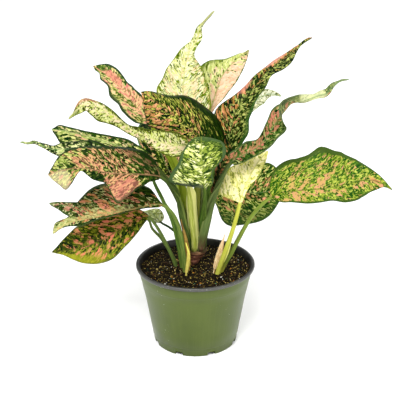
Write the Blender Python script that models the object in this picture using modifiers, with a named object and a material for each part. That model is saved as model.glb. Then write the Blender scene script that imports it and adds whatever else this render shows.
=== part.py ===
"""Potted Chinese evergreen (aglaonema) in its nursery pot.

Each physical piece is one closed solid: the pot, its soil, the cane, twenty leaves with their
stalks, and four narrow sheaths. Units are metres, +Z is up, and the origin is the centre of the
pot's underside. The plant's front faces -Y. The design values below are in millimetres.
"""
import math
from typing import NamedTuple

import bmesh
import bpy
import numpy as np
from mathutils import Vector, noise

MM = 0.001
GAP = 0.3

# The pot, as outer radii and heights from the bench up
RIM_RADIUS = 80.0
POT_HEIGHT = 113.6
BASE_RADIUS = 57.0
FLOOR = 3.0
POT_STEPS = 48
COLLAR_LOW = 94.0
DRAIN_SLOTS = 8
SLOT_WIDTH = 11.0
SLOT_DEPTH = 9.0
SLOT_HEIGHT = 5.0

# The soil
SOIL_TOP = 98.0
SOIL_RADIUS = 71.9
LUMP_HEIGHT = 2.4
LUMP_SIZE = 11.0
MOUND = 2.0
HOLE_CLEARANCE = 0.9
HOLE_FLOOR = 84.0
STRAIGHT_TOP = 102.0

# The cane and the two rings of leaf bases that stand on its swollen top
CROWN = (2.0, 12.0, 128.0)
OUTER_RING = 12.0
INNER_RING = 4.2
CANE_FOOT = (-7.0, 10.0)
CANE_RADIUS = 8.0
CANE_TOP_RADIUS = 14.4

# The leaves: their thickness, and how the stalk's round section runs out into the midrib
BLADE_THICKNESS = 0.8
TIP_HALF_WIDTH = 0.5
CROWN_STRAIGHT = 7.0
RIB_SHARE = 0.9
RIB_END = 0.1
RIB_SPREAD = 1.12
RIB_COLUMN = 4.0
ABOVE_SHARE = 0.35
LEFT_WAVE_SHIFT = 1.9

# How finely a leaf is built
ROUTE_STEPS = 40
ROUTE_POINTS = 1500
STALK_STATIONS = 4
BLADE_STATIONS = 13
SMALL_BLADE_STATIONS = 9
COLUMNS = 7


class Leaf(NamedTuple):
    """A leaf: where its stalk stands, the route of its stalk and midrib, and the form of its blade.

    face is the way the upper side looks. left and right are half-widths, rise is how far each half
    is lifted from flat at the midrib and bend how much further it turns by its margin. A value
    given as several numbers runs from the blade's base to its tip.
    """
    foot: tuple
    stalk: tuple
    rib: tuple
    face: tuple
    left: tuple
    right: tuple
    rise: tuple = (0, 0)
    bend: tuple = (0, 0)
    wave: tuple = (2.0, 2.0, 0.0)
    thick: tuple = (3.0, 2.1)
    widest: float = 0.38
    head: float = 0.62
    tail: float = 1.35
    stations: int = BLADE_STATIONS
    colour: tuple = (0.05, 0.14, 0.03)


def ring_foot(radius, degrees):
    """A foot on the cane's top, this far from its centre and in this direction."""
    turn = math.radians(degrees)
    return (CROWN[0] + radius * math.cos(turn), CROWN[1] + radius * math.sin(turn), CROWN[2] + GAP)


def soil_foot(x, y):
    return (x, y, HOLE_FLOOR + GAP)


DARK = (0.04, 0.12, 0.03)
ROSE = (0.60, 0.22, 0.15)
CREAM = (0.70, 0.72, 0.35)
PEACH = (0.72, 0.48, 0.30)
OLIVE = (0.20, 0.28, 0.05)

LEAVES = {
    "leaf_upper_left": Leaf(
        ring_foot(OUTER_RING, 145), ((-19, 25, 170), (-36, 44, 236)),
        ((-58, 52, 289), (-79, 60, 311), (-100, 68, 332), (-117, 76, 351), (-138, 86, 361)),
        face=((0.5, -0.7, 0.5),), left=(14, 22, 28, 28), right=(20, 16, 20, 34),
        rise=(5, 10), bend=(10, 20), wave=(3, 2.5, 0.1), tail=1.1, colour=ROSE),
    "leaf_big_centre": Leaf(
        ring_foot(INNER_RING, 265), ((12, 4, 194), (23, 0, 242)),
        ((23, -2, 262), (13, -10, 285), (-6, -22, 309), (-35, -36, 338), (-64, -52, 364)),
        face=((0.2, -0.8, 0.6),), left=(30, 24, 28), right=(46,),
        rise=(-10, -5), bend=(-20, -30), wave=(2, 2, 0.3), thick=(2.6, 2.0), colour=DARK),
    "leaf_cream_left": Leaf(
        ring_foot(OUTER_RING, 250), ((-9, -10, 193), (-10, -24, 240)),
        ((-14, -34, 280), (-37, -46, 294), (-64, -58, 309), (-91, -72, 330), (-111, -82, 350),
         (-126, -88, 363), (-136, -90, 361), (-147, -90, 342)),
        face=((0.1, -0.8, 0.6),), left=(18, 14, 6, 22, 16), right=(26, 16, 6, 10, 14),
        rise=(5, 20), bend=(0, 10), tail=0.9, head=0.5, colour=CREAM),
    "leaf_back_left": Leaf(
        ring_foot(OUTER_RING, 180), ((-19, 12, 176), (-40, 18, 224)),
        ((-65, 22, 251), (-92, 24, 261), (-131, 28, 274), (-162, 32, 282), (-188, 36, 289)),
        face=((0.1, -0.75, 0.65),), left=(22,), right=(22, 14, 18),
        rise=(10, 10), bend=(10, 10), wave=(2, 2, 0.2), tail=0.9, colour=OLIVE),
    "leaf_long_tail": Leaf(
        soil_foot(-21, -1), ((-31, -6, 174), (-42, -12, 208), (-53, -18, 237)),
        ((-60, -22, 264), (-94, -26, 275), (-132, -26, 281), (-170, -24, 282), (-193, -20, 287),
         (-221, -14, 289)),
        face=((0.05, -0.6, 0.8),), left=(22, 22, 16), right=(18, 20, 12),
        wave=(3, 3, 0), thick=(2.4, 1.8), tail=2.2, colour=DARK),
    "leaf_front_left": Leaf(
        ring_foot(OUTER_RING, 215), ((-20, -8, 185), (-24, -26, 219), (-34, -42, 246)),
        ((-43, -52, 260), (-67, -66, 264), (-102, -80, 271), (-134, -90, 281), (-153, -96, 281),
         (-173, -102, 277)),
        face=((0.0, -0.9, 0.5),), left=(10, 12, 15, 20, 28, 41, 41, 8, 6, 10, 34, 90, 140),
        right=(37, 34, 38, 70),
        rise=(10, -5), bend=(10, -10), wave=(3, 2.5, 0), tail=0.75, colour=ROSE),
    "leaf_middle_left": Leaf(
        soil_foot(-16, -15), ((-20, -16, 144), (-24, -22, 175), (-31, -32, 199)),
        ((-42, -38, 212), (-82, -52, 212), (-118, -64, 208), (-149, -72, 199), (-177, -78, 189)),
        face=((0.0, -0.8, 0.6),), left=(9,), right=(42, 42, 42, 60),
        rise=(20, -5), bend=(0, -10), tail=1.0, widest=0.42, colour=ROSE),
    "leaf_behind_left": Leaf(
        soil_foot(-26, 13), ((-47, 8, 145), (-58, 4, 165)),
        ((-63, 4, 174), (-100, 12, 178), (-141, 22, 182), (-176, 32, 181), (-204, 40, 178)),
        face=((0.0, -0.8, 0.6),), left=(22,), right=(16,),
        rise=(0, 10), thick=(2.2, 1.7), colour=DARK),
    "leaf_lowest_left": Leaf(
        soil_foot(-31, 4), ((-50, -4, 146), (-59, -12, 171)),
        ((-60, -16, 186), (-84, -28, 181), (-116, -42, 167), (-147, -52, 158), (-182, -60, 153)),
        face=((0.0, -0.8, 0.6),), left=(18, 32, 36), right=(24, 30, 46, 50),
        bend=(-10, 0), thick=(2.4, 1.9), colour=OLIVE),
    "leaf_small_back": Leaf(
        soil_foot(-19, 8), ((-23, 12, 146), (-35, 16, 157)),
        ((-47, 26, 160), (-57, 45, 159), (-67, 75, 153), (-79, 105, 138)),
        face=((0.3, -0.3, 0.9),), left=(11,), right=(11,),
        rise=(10, 10), wave=(1, 1, 0), thick=(1.8, 1.4), stations=SMALL_BLADE_STATIONS, colour=DARK),
    "leaf_centre_front": Leaf(
        ring_foot(OUTER_RING, 287), ((10, -10, 172), (11, -30, 210)),
        ((11, -44, 236), (10, -54, 262), (8, -56, 289), (6, -44, 303), (6, -26, 295)),
        face=((0, 1, 0), (0, 1, -0.2), (0, 0.3, -1)), left=(12, 24, 34, 30), right=(48, 30, 22, 20),
        bend=(20, 20), wave=(1.5, 1, 0), head=0.25, tail=0.8, colour=CREAM),
    "leaf_top_cream": Leaf(
        ring_foot(INNER_RING, 175), ((-3, 32, 204), (-12, 46, 256)),
        ((-14, 50, 297), (-16, 52, 335), (-13, 52, 364), (-7, 50, 387), (2, 46, 407), (10, 40, 425),
         (24, 34, 444)),
        face=((0.1, -0.95, 0.3),), left=(32, 30, 18, 13), right=(30, 34, 14, 12),
        rise=(5, 5), bend=(5, 30), wave=(1, 2, 0), thick=(2.6, 2.0), widest=0.3, tail=1.8,
        colour=CREAM),
    "leaf_top_peach": Leaf(
        ring_foot(INNER_RING, 90), ((10, 40, 201), (17, 64, 264)),
        ((22, 74, 301), (28, 82, 326), (36, 90, 346), (51, 98, 363), (72, 106, 377)),
        face=((-0.1, -0.95, 0.3),), left=(28, 31, 16), right=(16, 26, 34),
        rise=(5, 5), bend=(5, 5), wave=(1, 2, 0), thick=(2.6, 2.0), tail=1.0, colour=PEACH),
    "leaf_upper_right": Leaf(
        ring_foot(OUTER_RING, 17), ((22, 16, 189), (35, 16, 239)),
        ((43, 18, 266), (52, 24, 297), (70, 32, 328), (91, 40, 357), (120, 50, 382), (148, 60, 404)),
        face=((-0.5, -0.75, 0.4), (-0.7, -0.5, 0.5)), left=(50, 18, 13, 14), right=(40, 24, 10, 26),
        rise=(10, 5), bend=(10, 0), tail=1.6, colour=DARK),
    "leaf_small_right": Leaf(
        ring_foot(INNER_RING, 5), ((9, 15, 158), (25, 48, 212), (50, 84, 258)),
        ((73, 104, 289), (85, 114, 306), (101, 122, 312), (120, 130, 307)),
        face=((-0.3, -0.8, 0.5),), left=(11,), right=(11,),
        wave=(1, 1, 0), thick=(2.4, 1.6), stations=SMALL_BLADE_STATIONS, colour=CREAM),
    "leaf_right": Leaf(
        ring_foot(OUTER_RING, 330), ((22, -3, 167), (34, -9, 205), (40, -12, 237)),
        ((46, -13, 258), (67, -18, 271), (87, -22, 287), (100, -26, 308), (108, -28, 328),
         (117, -30, 342), (138, -32, 351), (162, -34, 364), (186, -36, 376)),
        face=((-0.3, -0.8, 0.5), (-0.4, -0.75, 0.5), (-0.5, -0.7, 0.5), (-0.1, 0.3, 0.7),
              (0.2, 0.9, 0.1), (0.2, 0.9, 0.2)),
        left=(16, 14, 12, 34, 26, 22), right=(14, 14, 18, 20, 12, 10),
        rise=(10, 10), thick=(4.6, 2.6), tail=1.7, colour=ROSE),
    "leaf_yellow": Leaf(
        soil_foot(24, -19), ((38, -20, 138), (48, -21, 166), (55, -22, 194)),
        ((59, -19, 208), (68, -12, 227), (80, -2, 249), (94, 10, 268)),
        face=((0.25, 0.95, 0),), left=(8,), right=(36, 34, 32),
        rise=(0, 8), bend=(0, 12), wave=(1.5, 2, 0), thick=(3.0, 2.0), head=0.35,
        stations=SMALL_BLADE_STATIONS + 2, colour=CREAM),
    "leaf_large_right": Leaf(
        soil_foot(31, -9), ((49, -7, 133), (63, -8, 163), (74, -12, 185), (87, -18, 205)),
        ((98, -22, 216), (115, -30, 225), (151, -44, 236), (186, -54, 246), (212, -60, 253),
         (240, -64, 245)),
        face=((0.0, -0.85, 0.5),), left=(64, 46, 50, 34), right=(24, 16, 30, 40),
        rise=(-5, 0), bend=(5, 10), wave=(3, 3, 0), thick=(3.0, 2.0), widest=0.42, tail=1.2,
        colour=OLIVE),
    "leaf_dark_oval": Leaf(
        ring_foot(OUTER_RING, 60), ((16, 25, 162), (24, 28, 183)),
        ((29, 33, 195), (50, 42, 198), (86, 56, 191), (122, 68, 193)),
        face=((-0.1, -0.95, 0.25),), left=(34, 36, 38), right=(60, 46, 50),
        head=0.42, tail=0.8, colour=DARK),
    "leaf_back": Leaf(
        ring_foot(OUTER_RING, 108), ((-9, 38, 168), (-22, 52, 208)),
        ((-34, 58, 231), (-51, 80, 249), (-55, 105, 265), (-47, 132, 274)),
        face=((0.3, -0.6, 0.7),), left=(30,), right=(28,), colour=DARK),
}

# Narrow sheaths, a leaf's form with next to no stalk
SHEATHS = {
    "sheath_dry_left": Leaf(
        soil_foot(-8.5, -13), ((-8, -13, 108),),
        ((-8.5, -13, 112), (-12, -15, 140), (-15.5, -15.5, 165), (-18.5, -15.5, 182)),
        face=((0.2, 1, 0),), left=(4.5,), right=(4.5,), bend=(60, 60), wave=(0.4, 3, 0),
        thick=(1.6, 1.0), head=0.3, stations=SMALL_BLADE_STATIONS, colour=(0.45, 0.28, 0.16)),
    "sheath_young_left": Leaf(
        soil_foot(-12, -24), ((-12, -24, 106),),
        ((-12, -24, 108), (-10, -24, 122), (-9, -24, 137), (-12, -23, 152)),
        face=((0.2, 1, 0),), left=(3.6,), right=(3.6,), bend=(60, 60), wave=(0.2, 1, 0),
        thick=(1.6, 1.2), head=0.3, stations=SMALL_BLADE_STATIONS - 2, colour=(0.60, 0.68, 0.18)),
    "sheath_papery_right": Leaf(
        soil_foot(18, -16), ((19, -16, 106),),
        ((20, -16, 110), (26, -14, 126), (33, -12, 142), (40, -10, 157)),
        face=((0.3, 1, 0),), left=(4.5,), right=(4.5,), bend=(60, 60), wave=(0.4, 2, 0.3),
        thick=(1.6, 1.0), head=0.3, stations=SMALL_BLADE_STATIONS - 1, colour=(0.66, 0.46, 0.28)),
    "sheath_pale_right": Leaf(
        soil_foot(28.5, -15), ((30, -15, 106),),
        ((31, -15, 110), (38, -15, 126), (44, -14.5, 140), (48, -14, 152)),
        face=((0.3, 1, 0),), left=(3.2,), right=(3.2,), bend=(40, 40), wave=(0.2, 1, 0),
        thick=(1.3, 0.9), head=0.3, stations=SMALL_BLADE_STATIONS - 2, colour=(0.55, 0.60, 0.25)),
}


def clear_scene():
    for obj in list(bpy.data.objects):
        bpy.data.objects.remove(obj, do_unlink=True)


def new_collection(name):
    collection = bpy.data.collections.new(name)
    bpy.context.scene.collection.children.link(collection)
    return collection


def new_material(name, colour, roughness):
    material = bpy.data.materials.new(name)
    material.use_nodes = True
    shader = material.node_tree.nodes["Principled BSDF"]
    shader.inputs["Base Color"].default_value = (*colour, 1.0)
    shader.inputs["Roughness"].default_value = roughness
    shader.inputs["Metallic"].default_value = 0.0
    return material


def new_object(name, mesh, collection, material=None):
    obj = bpy.data.objects.new(name, mesh)
    collection.objects.link(obj)
    if material:
        mesh.materials.append(material)
    return obj


def applied(obj):
    """Replaces an object's data with its evaluated mesh, welded, and drops its modifiers."""
    graph = bpy.context.evaluated_depsgraph_get()
    mesh = bpy.data.meshes.new_from_object(obj.evaluated_get(graph))
    built = bmesh.new()
    built.from_mesh(mesh)
    bmesh.ops.remove_doubles(built, verts=built.verts, dist=0.01 * MM)
    built.to_mesh(mesh)
    built.free()
    if obj.type == "MESH":
        obj.modifiers.clear()
        obj.data = mesh
        return obj
    baked = bpy.data.objects.new(obj.name, mesh)
    obj.users_collection[0].objects.link(baked)
    baked.matrix_world = obj.matrix_world
    name = obj.name
    bpy.data.objects.remove(obj, do_unlink=True)
    baked.name = name
    return baked


def turned(name, profile, steps, collection, material):
    """A profile of (radius, height) points turned about +Z."""
    mesh = bpy.data.meshes.new(name)
    points = [(radius * MM, 0.0, height * MM) for radius, height in profile]
    mesh.from_pydata(points, [(i, i + 1) for i in range(len(points) - 1)], [])
    obj = new_object(name, mesh, collection, material)
    screw = obj.modifiers.new("turn", "SCREW")
    screw.axis = "Z"
    screw.steps = steps
    screw.render_steps = steps
    screw.use_merge_vertices = True
    screw.merge_threshold = 0.01 * MM
    screw.use_smooth_shade = True
    return obj


def cut(obj, cutter):
    boolean = obj.modifiers.new("cut " + cutter.name, "BOOLEAN")
    boolean.operation = "DIFFERENCE"
    boolean.solver = "EXACT"
    boolean.object = cutter
    cutter.hide_render = True
    cutter.display_type = "WIRE"


def inner_profile():
    """The pot's inner wall from the floor up to just under the lip."""
    return [(BASE_RADIUS - 2.2, FLOOR), (66.4, 68.0), (71.4, 92.0), (73.4, 106.0)]


def build_pot(parts, cutters):
    """A thin tapered pot with a shallow collar, a rolled lip, and drain slots at its foot."""
    lip = [(74.6, 111.8), (76.4, POT_HEIGHT), (78.6, POT_HEIGHT), (RIM_RADIUS, 112.2),
           (RIM_RADIUS, 109.6), (78.4, 108.0), (75.9, 107.6)]
    outside = [(75.0, 100.0), (74.4, COLLAR_LOW + 1), (73.4, COLLAR_LOW), (71.8, 84.0), (68.2, 68.0),
               (59.0, 12.0), (58.2, 11.2), (BASE_RADIUS, 1.6), (BASE_RADIUS - 1.6, 0.0)]
    profile = [(0.0, FLOOR)] + inner_profile() + lip + outside + [(0.0, 0.0)]
    material = new_material("pot plastic", (0.15, 0.21, 0.07), 0.35)
    pot = turned("pot", profile, POT_STEPS, parts, material)
    for k in range(DRAIN_SLOTS):
        turn = 2 * math.pi * (k + 0.5) / DRAIN_SLOTS
        bpy.ops.mesh.primitive_cube_add(size=1.0)
        cutter = bpy.context.object
        cutter.name = f"drain_cutter_{k}"
        cutter.scale = (SLOT_DEPTH * MM, SLOT_WIDTH * MM, (SLOT_HEIGHT + 2) * MM)
        cutter.rotation_euler = (0, 0, turn)
        reach = (BASE_RADIUS - SLOT_DEPTH / 2 + 2.5) * MM
        cutter.location = (reach * math.cos(turn), reach * math.sin(turn), (SLOT_HEIGHT / 2 - 1) * MM)
        for holder in list(cutter.users_collection):
            holder.objects.unlink(cutter)
        cutters.objects.link(cutter)
        cut(pot, cutter)
    return pot


def soil_height(x, y):
    """The lumpy top of the soil, level at the wall, with a slight mound under the cane."""
    lump = noise.noise(Vector((x / LUMP_SIZE, y / LUMP_SIZE, 3.7)))
    fine = noise.noise(Vector((x / LUMP_SIZE * 2.3, y / LUMP_SIZE * 2.3, 9.1)))
    away = math.hypot(x - CANE_FOOT[0], y - CANE_FOOT[1])
    level = 1 - (math.hypot(x, y) / SOIL_RADIUS) ** 6
    return SOIL_TOP + level * (LUMP_HEIGHT * (lump + 0.4 * fine) + MOUND * math.exp(-(away / 25.0) ** 2))


def build_soil(parts, cutters):
    """The soil fills the pot, and each stem stands in a plain blind hole in it."""
    rings = 7
    floor, low, high, _ = [(radius - GAP, height) for radius, height in inner_profile()]
    profile = [(SOIL_RADIUS * k / rings, SOIL_TOP) for k in range(rings + 1)]
    profile += [high, low, (floor[0], FLOOR + GAP), (0.0, FLOOR + GAP)]
    material = new_material("potting soil", (0.03, 0.018, 0.01), 0.95)
    soil = applied(turned("soil", profile, POT_STEPS, parts, material))
    soil.data.materials.clear()
    soil.data.materials.append(material)
    for vertex in soil.data.vertices:
        if vertex.co.z > (SOIL_TOP - 1) * MM:
            vertex.co.z = soil_height(vertex.co.x / MM, vertex.co.y / MM) * MM
    stems = [(leaf.foot[:2], leaf.thick[0], leaf.foot[2] - GAP)
             for leaf in (*LEAVES.values(), *SHEATHS.values()) if leaf.foot[2] < SOIL_TOP]
    stems.append((CANE_FOOT, CANE_RADIUS, HOLE_FLOOR))
    for k, ((x, y), radius, bottom) in enumerate(stems):
        depth = SOIL_TOP + 20 - bottom
        bpy.ops.mesh.primitive_cylinder_add(
            vertices=16 if radius > 5 else 10, radius=(radius + HOLE_CLEARANCE) * MM, depth=depth * MM,
            location=(x * MM, y * MM, (bottom + depth / 2) * MM))
        cutter = bpy.context.object
        cutter.name = f"stem_hole_{k}"
        for holder in list(cutter.users_collection):
            holder.objects.unlink(cutter)
        cutters.objects.link(cutter)
        cut(soil, cutter)
    return soil


def build_cane(parts):
    """The short cane, ringed with old leaf scars, swells at its top to carry the leaf bases."""
    x, y = CANE_FOOT
    route = [((x, y, HOLE_FLOOR + GAP), CANE_RADIUS), ((x, y, 99.0), CANE_RADIUS),
             ((x + 0.3, y, 103.0), 8.9), ((x + 1.2, y + 0.3, 106.0), 8.0),
             ((x + 3.6, y + 0.8, 111.0), 9.6), ((x + 5.4, y + 1.2, 114.0), 8.9),
             ((x + 8.0, y + 1.8, 119.5), 11.6), ((CROWN[0], CROWN[1], 124.0), 14.0),
             (CROWN, CANE_TOP_RADIUS)]
    curve = bpy.data.curves.new("cane", "CURVE")
    curve.dimensions = "3D"
    curve.bevel_depth = MM
    curve.bevel_resolution = 4
    curve.use_fill_caps = True
    spline = curve.splines.new("POLY")
    spline.points.add(len(route) - 1)
    for point, (place, radius) in zip(spline.points, route):
        point.co = (*(c * MM for c in place), 1.0)
        point.radius = radius
    cane = bpy.data.objects.new("cane", curve)
    parts.objects.link(cane)
    cane = applied(cane)
    cane.data.materials.clear()
    cane.data.materials.append(new_material("cane bark", (0.16, 0.07, 0.05), 0.8))
    return cane


def smooth_route(points, count):
    """Points along a smooth curve through the given ones, evenly spaced, with their distances."""
    p = np.asarray(points, float)
    h = np.sqrt(np.linalg.norm(np.diff(p, axis=0), axis=1))[:, None]
    slope = np.diff(p, axis=0) / h
    middle = (slope[:-1] * h[1:] + slope[1:] * h[:-1]) / (h[:-1] + h[1:])
    tangent = np.vstack([slope[:1], middle, slope[-1:]])
    t = np.linspace(0, 1, ROUTE_STEPS + 1)[1:, None]
    pieces = [p[:1]]
    for i in range(len(h)):
        pieces.append((2 * t ** 3 - 3 * t ** 2 + 1) * p[i] + (t ** 3 - 2 * t ** 2 + t) * h[i] * tangent[i]
                      + (3 * t ** 2 - 2 * t ** 3) * p[i + 1] + (t ** 3 - t ** 2) * h[i] * tangent[i + 1])
    fine = np.vstack(pieces)
    run = np.concatenate([[0], np.cumsum(np.linalg.norm(np.diff(fine, axis=0), axis=1))])
    even = np.linspace(0, run[-1], count)
    return np.stack([np.interp(even, run, fine[:, k]) for k in range(3)], axis=1), even


def along(values, s):
    """Values spread evenly from a blade's base to its tip, read smoothly at s."""
    v = np.asarray(values, float)
    if len(v) == 1:
        return np.repeat(v, len(s), axis=0)
    place = s * (len(v) - 1)
    k = np.clip(place.astype(int), 0, len(v) - 2)
    f = place - k
    f = (f * f * (3 - 2 * f)).reshape(-1, *[1] * (v.ndim - 1))
    return v[k] * (1 - f) + v[k + 1] * f


def unit(vectors):
    return vectors / np.linalg.norm(vectors, axis=-1, keepdims=True)


def blade_outline(leaf, s):
    """The blade's half-width, as a share of its widest, from base (0) to tip (1)."""
    power = math.log(0.5) / math.log(leaf.widest)
    round_off = leaf.head + (leaf.tail - leaf.head) * s
    return np.sin(math.pi * np.clip(s, 1e-6, 1 - 1e-6) ** power) ** round_off


def leaf_stations(leaf):
    """Where the sections stand: s runs from -1 at the foot, by 0 at the blade's base, to 1 at the tip."""
    in_soil = leaf.foot[2] < SOIL_TOP
    straight = (*leaf.foot[:2], STRAIGHT_TOP if in_soil else leaf.foot[2] + CROWN_STRAIGHT)
    route, run = smooth_route([leaf.foot, straight, *leaf.stalk, *leaf.rib], ROUTE_POINTS)
    base = run[np.argmin(np.linalg.norm(route - np.asarray(leaf.rib[0], float), axis=1))]
    s = np.concatenate([np.linspace(-1, 0, STALK_STATIONS, endpoint=False),
                        np.linspace(0, 1, leaf.stations)])
    at = np.where(s < 0, base * (1 + s), base + (run[-1] - base) * s)
    if in_soil:
        at = np.insert(at, 1, STRAIGHT_TOP - leaf.foot[2])
        s = np.insert(s, 1, at[1] / base - 1)
    read = lambda where: np.stack([np.interp(where, run, route[:, k]) for k in range(3)], axis=1)
    return s, read(at), unit(read(at + 1.0) - read(at - 1.0))


def leaf_sections(leaf):
    """The leaf's middle surface as rows of points, and its half-thickness above and below."""
    s, place, forward = leaf_stations(leaf)
    t = np.clip(s, 0, 1)
    on_stalk = s < 0
    face = along(leaf.face, t)
    normal = unit(face - (face * forward).sum(1, keepdims=True) * forward)
    side = np.cross(forward, normal)
    shape = np.where(on_stalk, 0.0, blade_outline(leaf, t))
    foot_radius, base_radius = leaf.thick
    stalk_radius = foot_radius + (base_radius - foot_radius) * np.clip(s + 1, 0, 1)
    rib_radius = np.where(on_stalk, stalk_radius, RIB_SHARE * base_radius * (1 - t) ** 0.8 + RIB_END)
    tapered = TIP_HALF_WIDTH + (base_radius - TIP_HALF_WIDTH) * (1 - t) ** 3
    least = np.where(on_stalk, stalk_radius, tapered)
    above = np.where(on_stalk, np.clip(ABOVE_SHARE - 3 * s, ABOVE_SHARE, 1),
                     ABOVE_SHARE * np.clip(1 - 4 * t, 0, 1))
    height, count, phase = leaf.wave
    swell = height * np.sin(math.pi * t ** 0.8) ** 0.7
    rows = np.zeros((len(s), COLUMNS, 3))
    thick = np.zeros((len(s), COLUMNS, 2))
    for hand, widths, rise, bend, shift in ((-1, leaf.left, leaf.rise[0], leaf.bend[0], LEFT_WAVE_SHIFT),
                                            (1, leaf.right, leaf.rise[1], leaf.bend[1], 0.0)):
        width = np.hypot(along(widths, t) * shape, least)
        inner = np.clip(RIB_COLUMN / width, 0.12, 0.38)
        lift = np.where(on_stalk, 0.0, math.radians(rise))
        turn = np.where(on_stalk, 1e-6, math.radians(bend) + 1e-6)
        ripple = swell * np.sin(2 * math.pi * (count * t + phase) + shift)
        for step, q in enumerate((np.zeros_like(t), inner, (inner + 1) / 2, np.ones_like(t))):
            across = width * (np.sin(lift + turn * q) - np.sin(lift)) / turn
            up = width * (np.cos(lift) - np.cos(lift + turn * q)) / turn + ripple * q * q
            column = COLUMNS // 2 + hand * step
            rows[:, column] = place + hand * across[:, None] * side + up[:, None] * normal
            reach = np.maximum(rib_radius, 0.5)
            round_stalk = np.sqrt(np.clip(1 - (width * q / (1.02 * reach)) ** 2, 0, 1))
            spread_rib = np.exp(-(width * q / (RIB_SPREAD * reach)) ** 2)
            ridge = rib_radius * np.where(on_stalk, round_stalk, spread_rib)
            thick[:, column, 0] = BLADE_THICKNESS / 2 + ridge * above
            thick[:, column, 1] = BLADE_THICKNESS / 2 + ridge
    bent = unit(np.cross(np.gradient(rows, axis=1), np.gradient(rows, axis=0)))
    normals = np.where((s > 0.02)[:, None, None], bent, normal[:, None, :])
    return rows, normals, thick


def leaf_mesh(name, leaf):
    """One closed skin through the sections, with the same diagonals on both faces."""
    rows, normals, thick = leaf_sections(leaf)
    upper = rows + normals * thick[:, :, :1]
    lower = rows - normals * thick[:, :, 1:]
    count = len(rows)
    top = lambda i, j: i * COLUMNS + j
    low = lambda i, j: (count + i) * COLUMNS + j
    last, edge = count - 1, COLUMNS - 1
    faces = []
    for i in range(last):
        for j in range(edge):
            faces += [(top(i, j), top(i, j + 1), top(i + 1, j + 1)),
                      (top(i, j), top(i + 1, j + 1), top(i + 1, j)),
                      (low(i, j), low(i + 1, j + 1), low(i, j + 1)),
                      (low(i, j), low(i + 1, j), low(i + 1, j + 1))]
        faces += [(top(i, 0), top(i + 1, 0), low(i + 1, 0)),
                  (top(i, 0), low(i + 1, 0), low(i, 0)),
                  (top(i, edge), low(i + 1, edge), top(i + 1, edge)),
                  (top(i, edge), low(i, edge), low(i + 1, edge))]
    for j in range(edge):
        faces += [(top(0, j), low(0, j + 1), top(0, j + 1)),
                  (top(0, j), low(0, j), low(0, j + 1)),
                  (top(last, j), top(last, j + 1), low(last, j + 1)),
                  (top(last, j), low(last, j + 1), low(last, j))]
    points = np.concatenate([upper.reshape(-1, 3), lower.reshape(-1, 3)]) * MM
    mesh = bpy.data.meshes.new(name)
    mesh.from_pydata(points.tolist(), [], faces)
    mesh.shade_smooth()
    return mesh


def build_leaves(parts):
    for name, leaf in (*LEAVES.items(), *SHEATHS.items()):
        roughness = 0.4 if name.startswith("leaf") else 0.75
        new_object(name, leaf_mesh(name, leaf), parts, new_material(name, leaf.colour, roughness))


def main():
    clear_scene()
    parts = new_collection("potted_chinese_evergreen")
    cutters = new_collection("cutters")
    build_pot(parts, cutters)
    build_soil(parts, cutters)
    build_cane(parts)
    build_leaves(parts)


main()
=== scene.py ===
# %% Load the frame
import math

import bpy
import numpy as np
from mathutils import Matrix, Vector, noise


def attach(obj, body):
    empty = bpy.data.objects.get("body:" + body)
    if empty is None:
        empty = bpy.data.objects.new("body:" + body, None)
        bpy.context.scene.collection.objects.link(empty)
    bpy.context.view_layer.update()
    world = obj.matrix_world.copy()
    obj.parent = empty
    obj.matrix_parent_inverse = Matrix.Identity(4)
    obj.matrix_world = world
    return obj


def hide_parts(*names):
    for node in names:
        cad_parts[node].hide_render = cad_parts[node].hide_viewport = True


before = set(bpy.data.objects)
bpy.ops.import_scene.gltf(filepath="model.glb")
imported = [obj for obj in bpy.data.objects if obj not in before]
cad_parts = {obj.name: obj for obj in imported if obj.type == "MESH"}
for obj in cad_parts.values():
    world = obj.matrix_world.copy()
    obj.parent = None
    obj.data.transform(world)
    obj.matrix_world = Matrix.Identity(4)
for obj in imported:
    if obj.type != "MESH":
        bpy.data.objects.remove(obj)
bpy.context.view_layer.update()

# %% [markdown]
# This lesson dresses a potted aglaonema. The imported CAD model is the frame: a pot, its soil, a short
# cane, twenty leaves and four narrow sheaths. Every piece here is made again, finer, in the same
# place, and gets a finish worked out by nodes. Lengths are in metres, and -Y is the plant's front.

MM = 0.001

# %% [markdown]
# The camera comes first, because every later choice is judged through it. A long lens stands a
# little over a metre away and looks down at the plant by 22 degrees, so the soil shows inside the rim.

# %% The camera
LENS = 84.3
CAMERA_TARGET = Vector((6.3, 0.0, 203.2)) * MM
CAMERA_DISTANCE = 1228.6 * MM
CAMERA_TILT = math.radians(22.21)


def build_camera():
    data = bpy.data.cameras.new("camera")
    data.lens = LENS
    data.sensor_width = 36.0
    data.clip_start = 0.05
    data.clip_end = 20.0
    camera = bpy.data.objects.new("camera", data)
    bpy.context.scene.collection.objects.link(camera)
    back = Vector((0.0, -math.cos(CAMERA_TILT), math.sin(CAMERA_TILT)))
    camera.location = CAMERA_TARGET + back * CAMERA_DISTANCE
    camera.rotation_mode = "QUATERNION"
    camera.rotation_quaternion = (-back).to_track_quat("-Z", "Y")
    bpy.context.scene.camera = camera
    return camera


camera = build_camera()
bpy.context.scene.view_settings.view_transform = "Standard"
print("camera at, mm:", [round(c / MM, 1) for c in camera.location])

# %% [markdown]
# Modelling by operators works on what is selected, so small helpers keep that tidy: one starts from
# nothing selected, one picks a single piece, and one settles a finished piece with its place in its
# mesh. The last one tells the frame which body a piece rides on and which CAD node it stands for.

# %% Helpers for modelling by operators


def deselect():
    if bpy.context.object and bpy.context.object.mode != "OBJECT":
        bpy.ops.object.mode_set(mode="OBJECT")
    bpy.ops.object.select_all(action="DESELECT")


def only(piece):
    """Makes a piece the one that is selected and active."""
    deselect()
    piece.select_set(True)
    bpy.context.view_layer.objects.active = piece
    return piece


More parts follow.
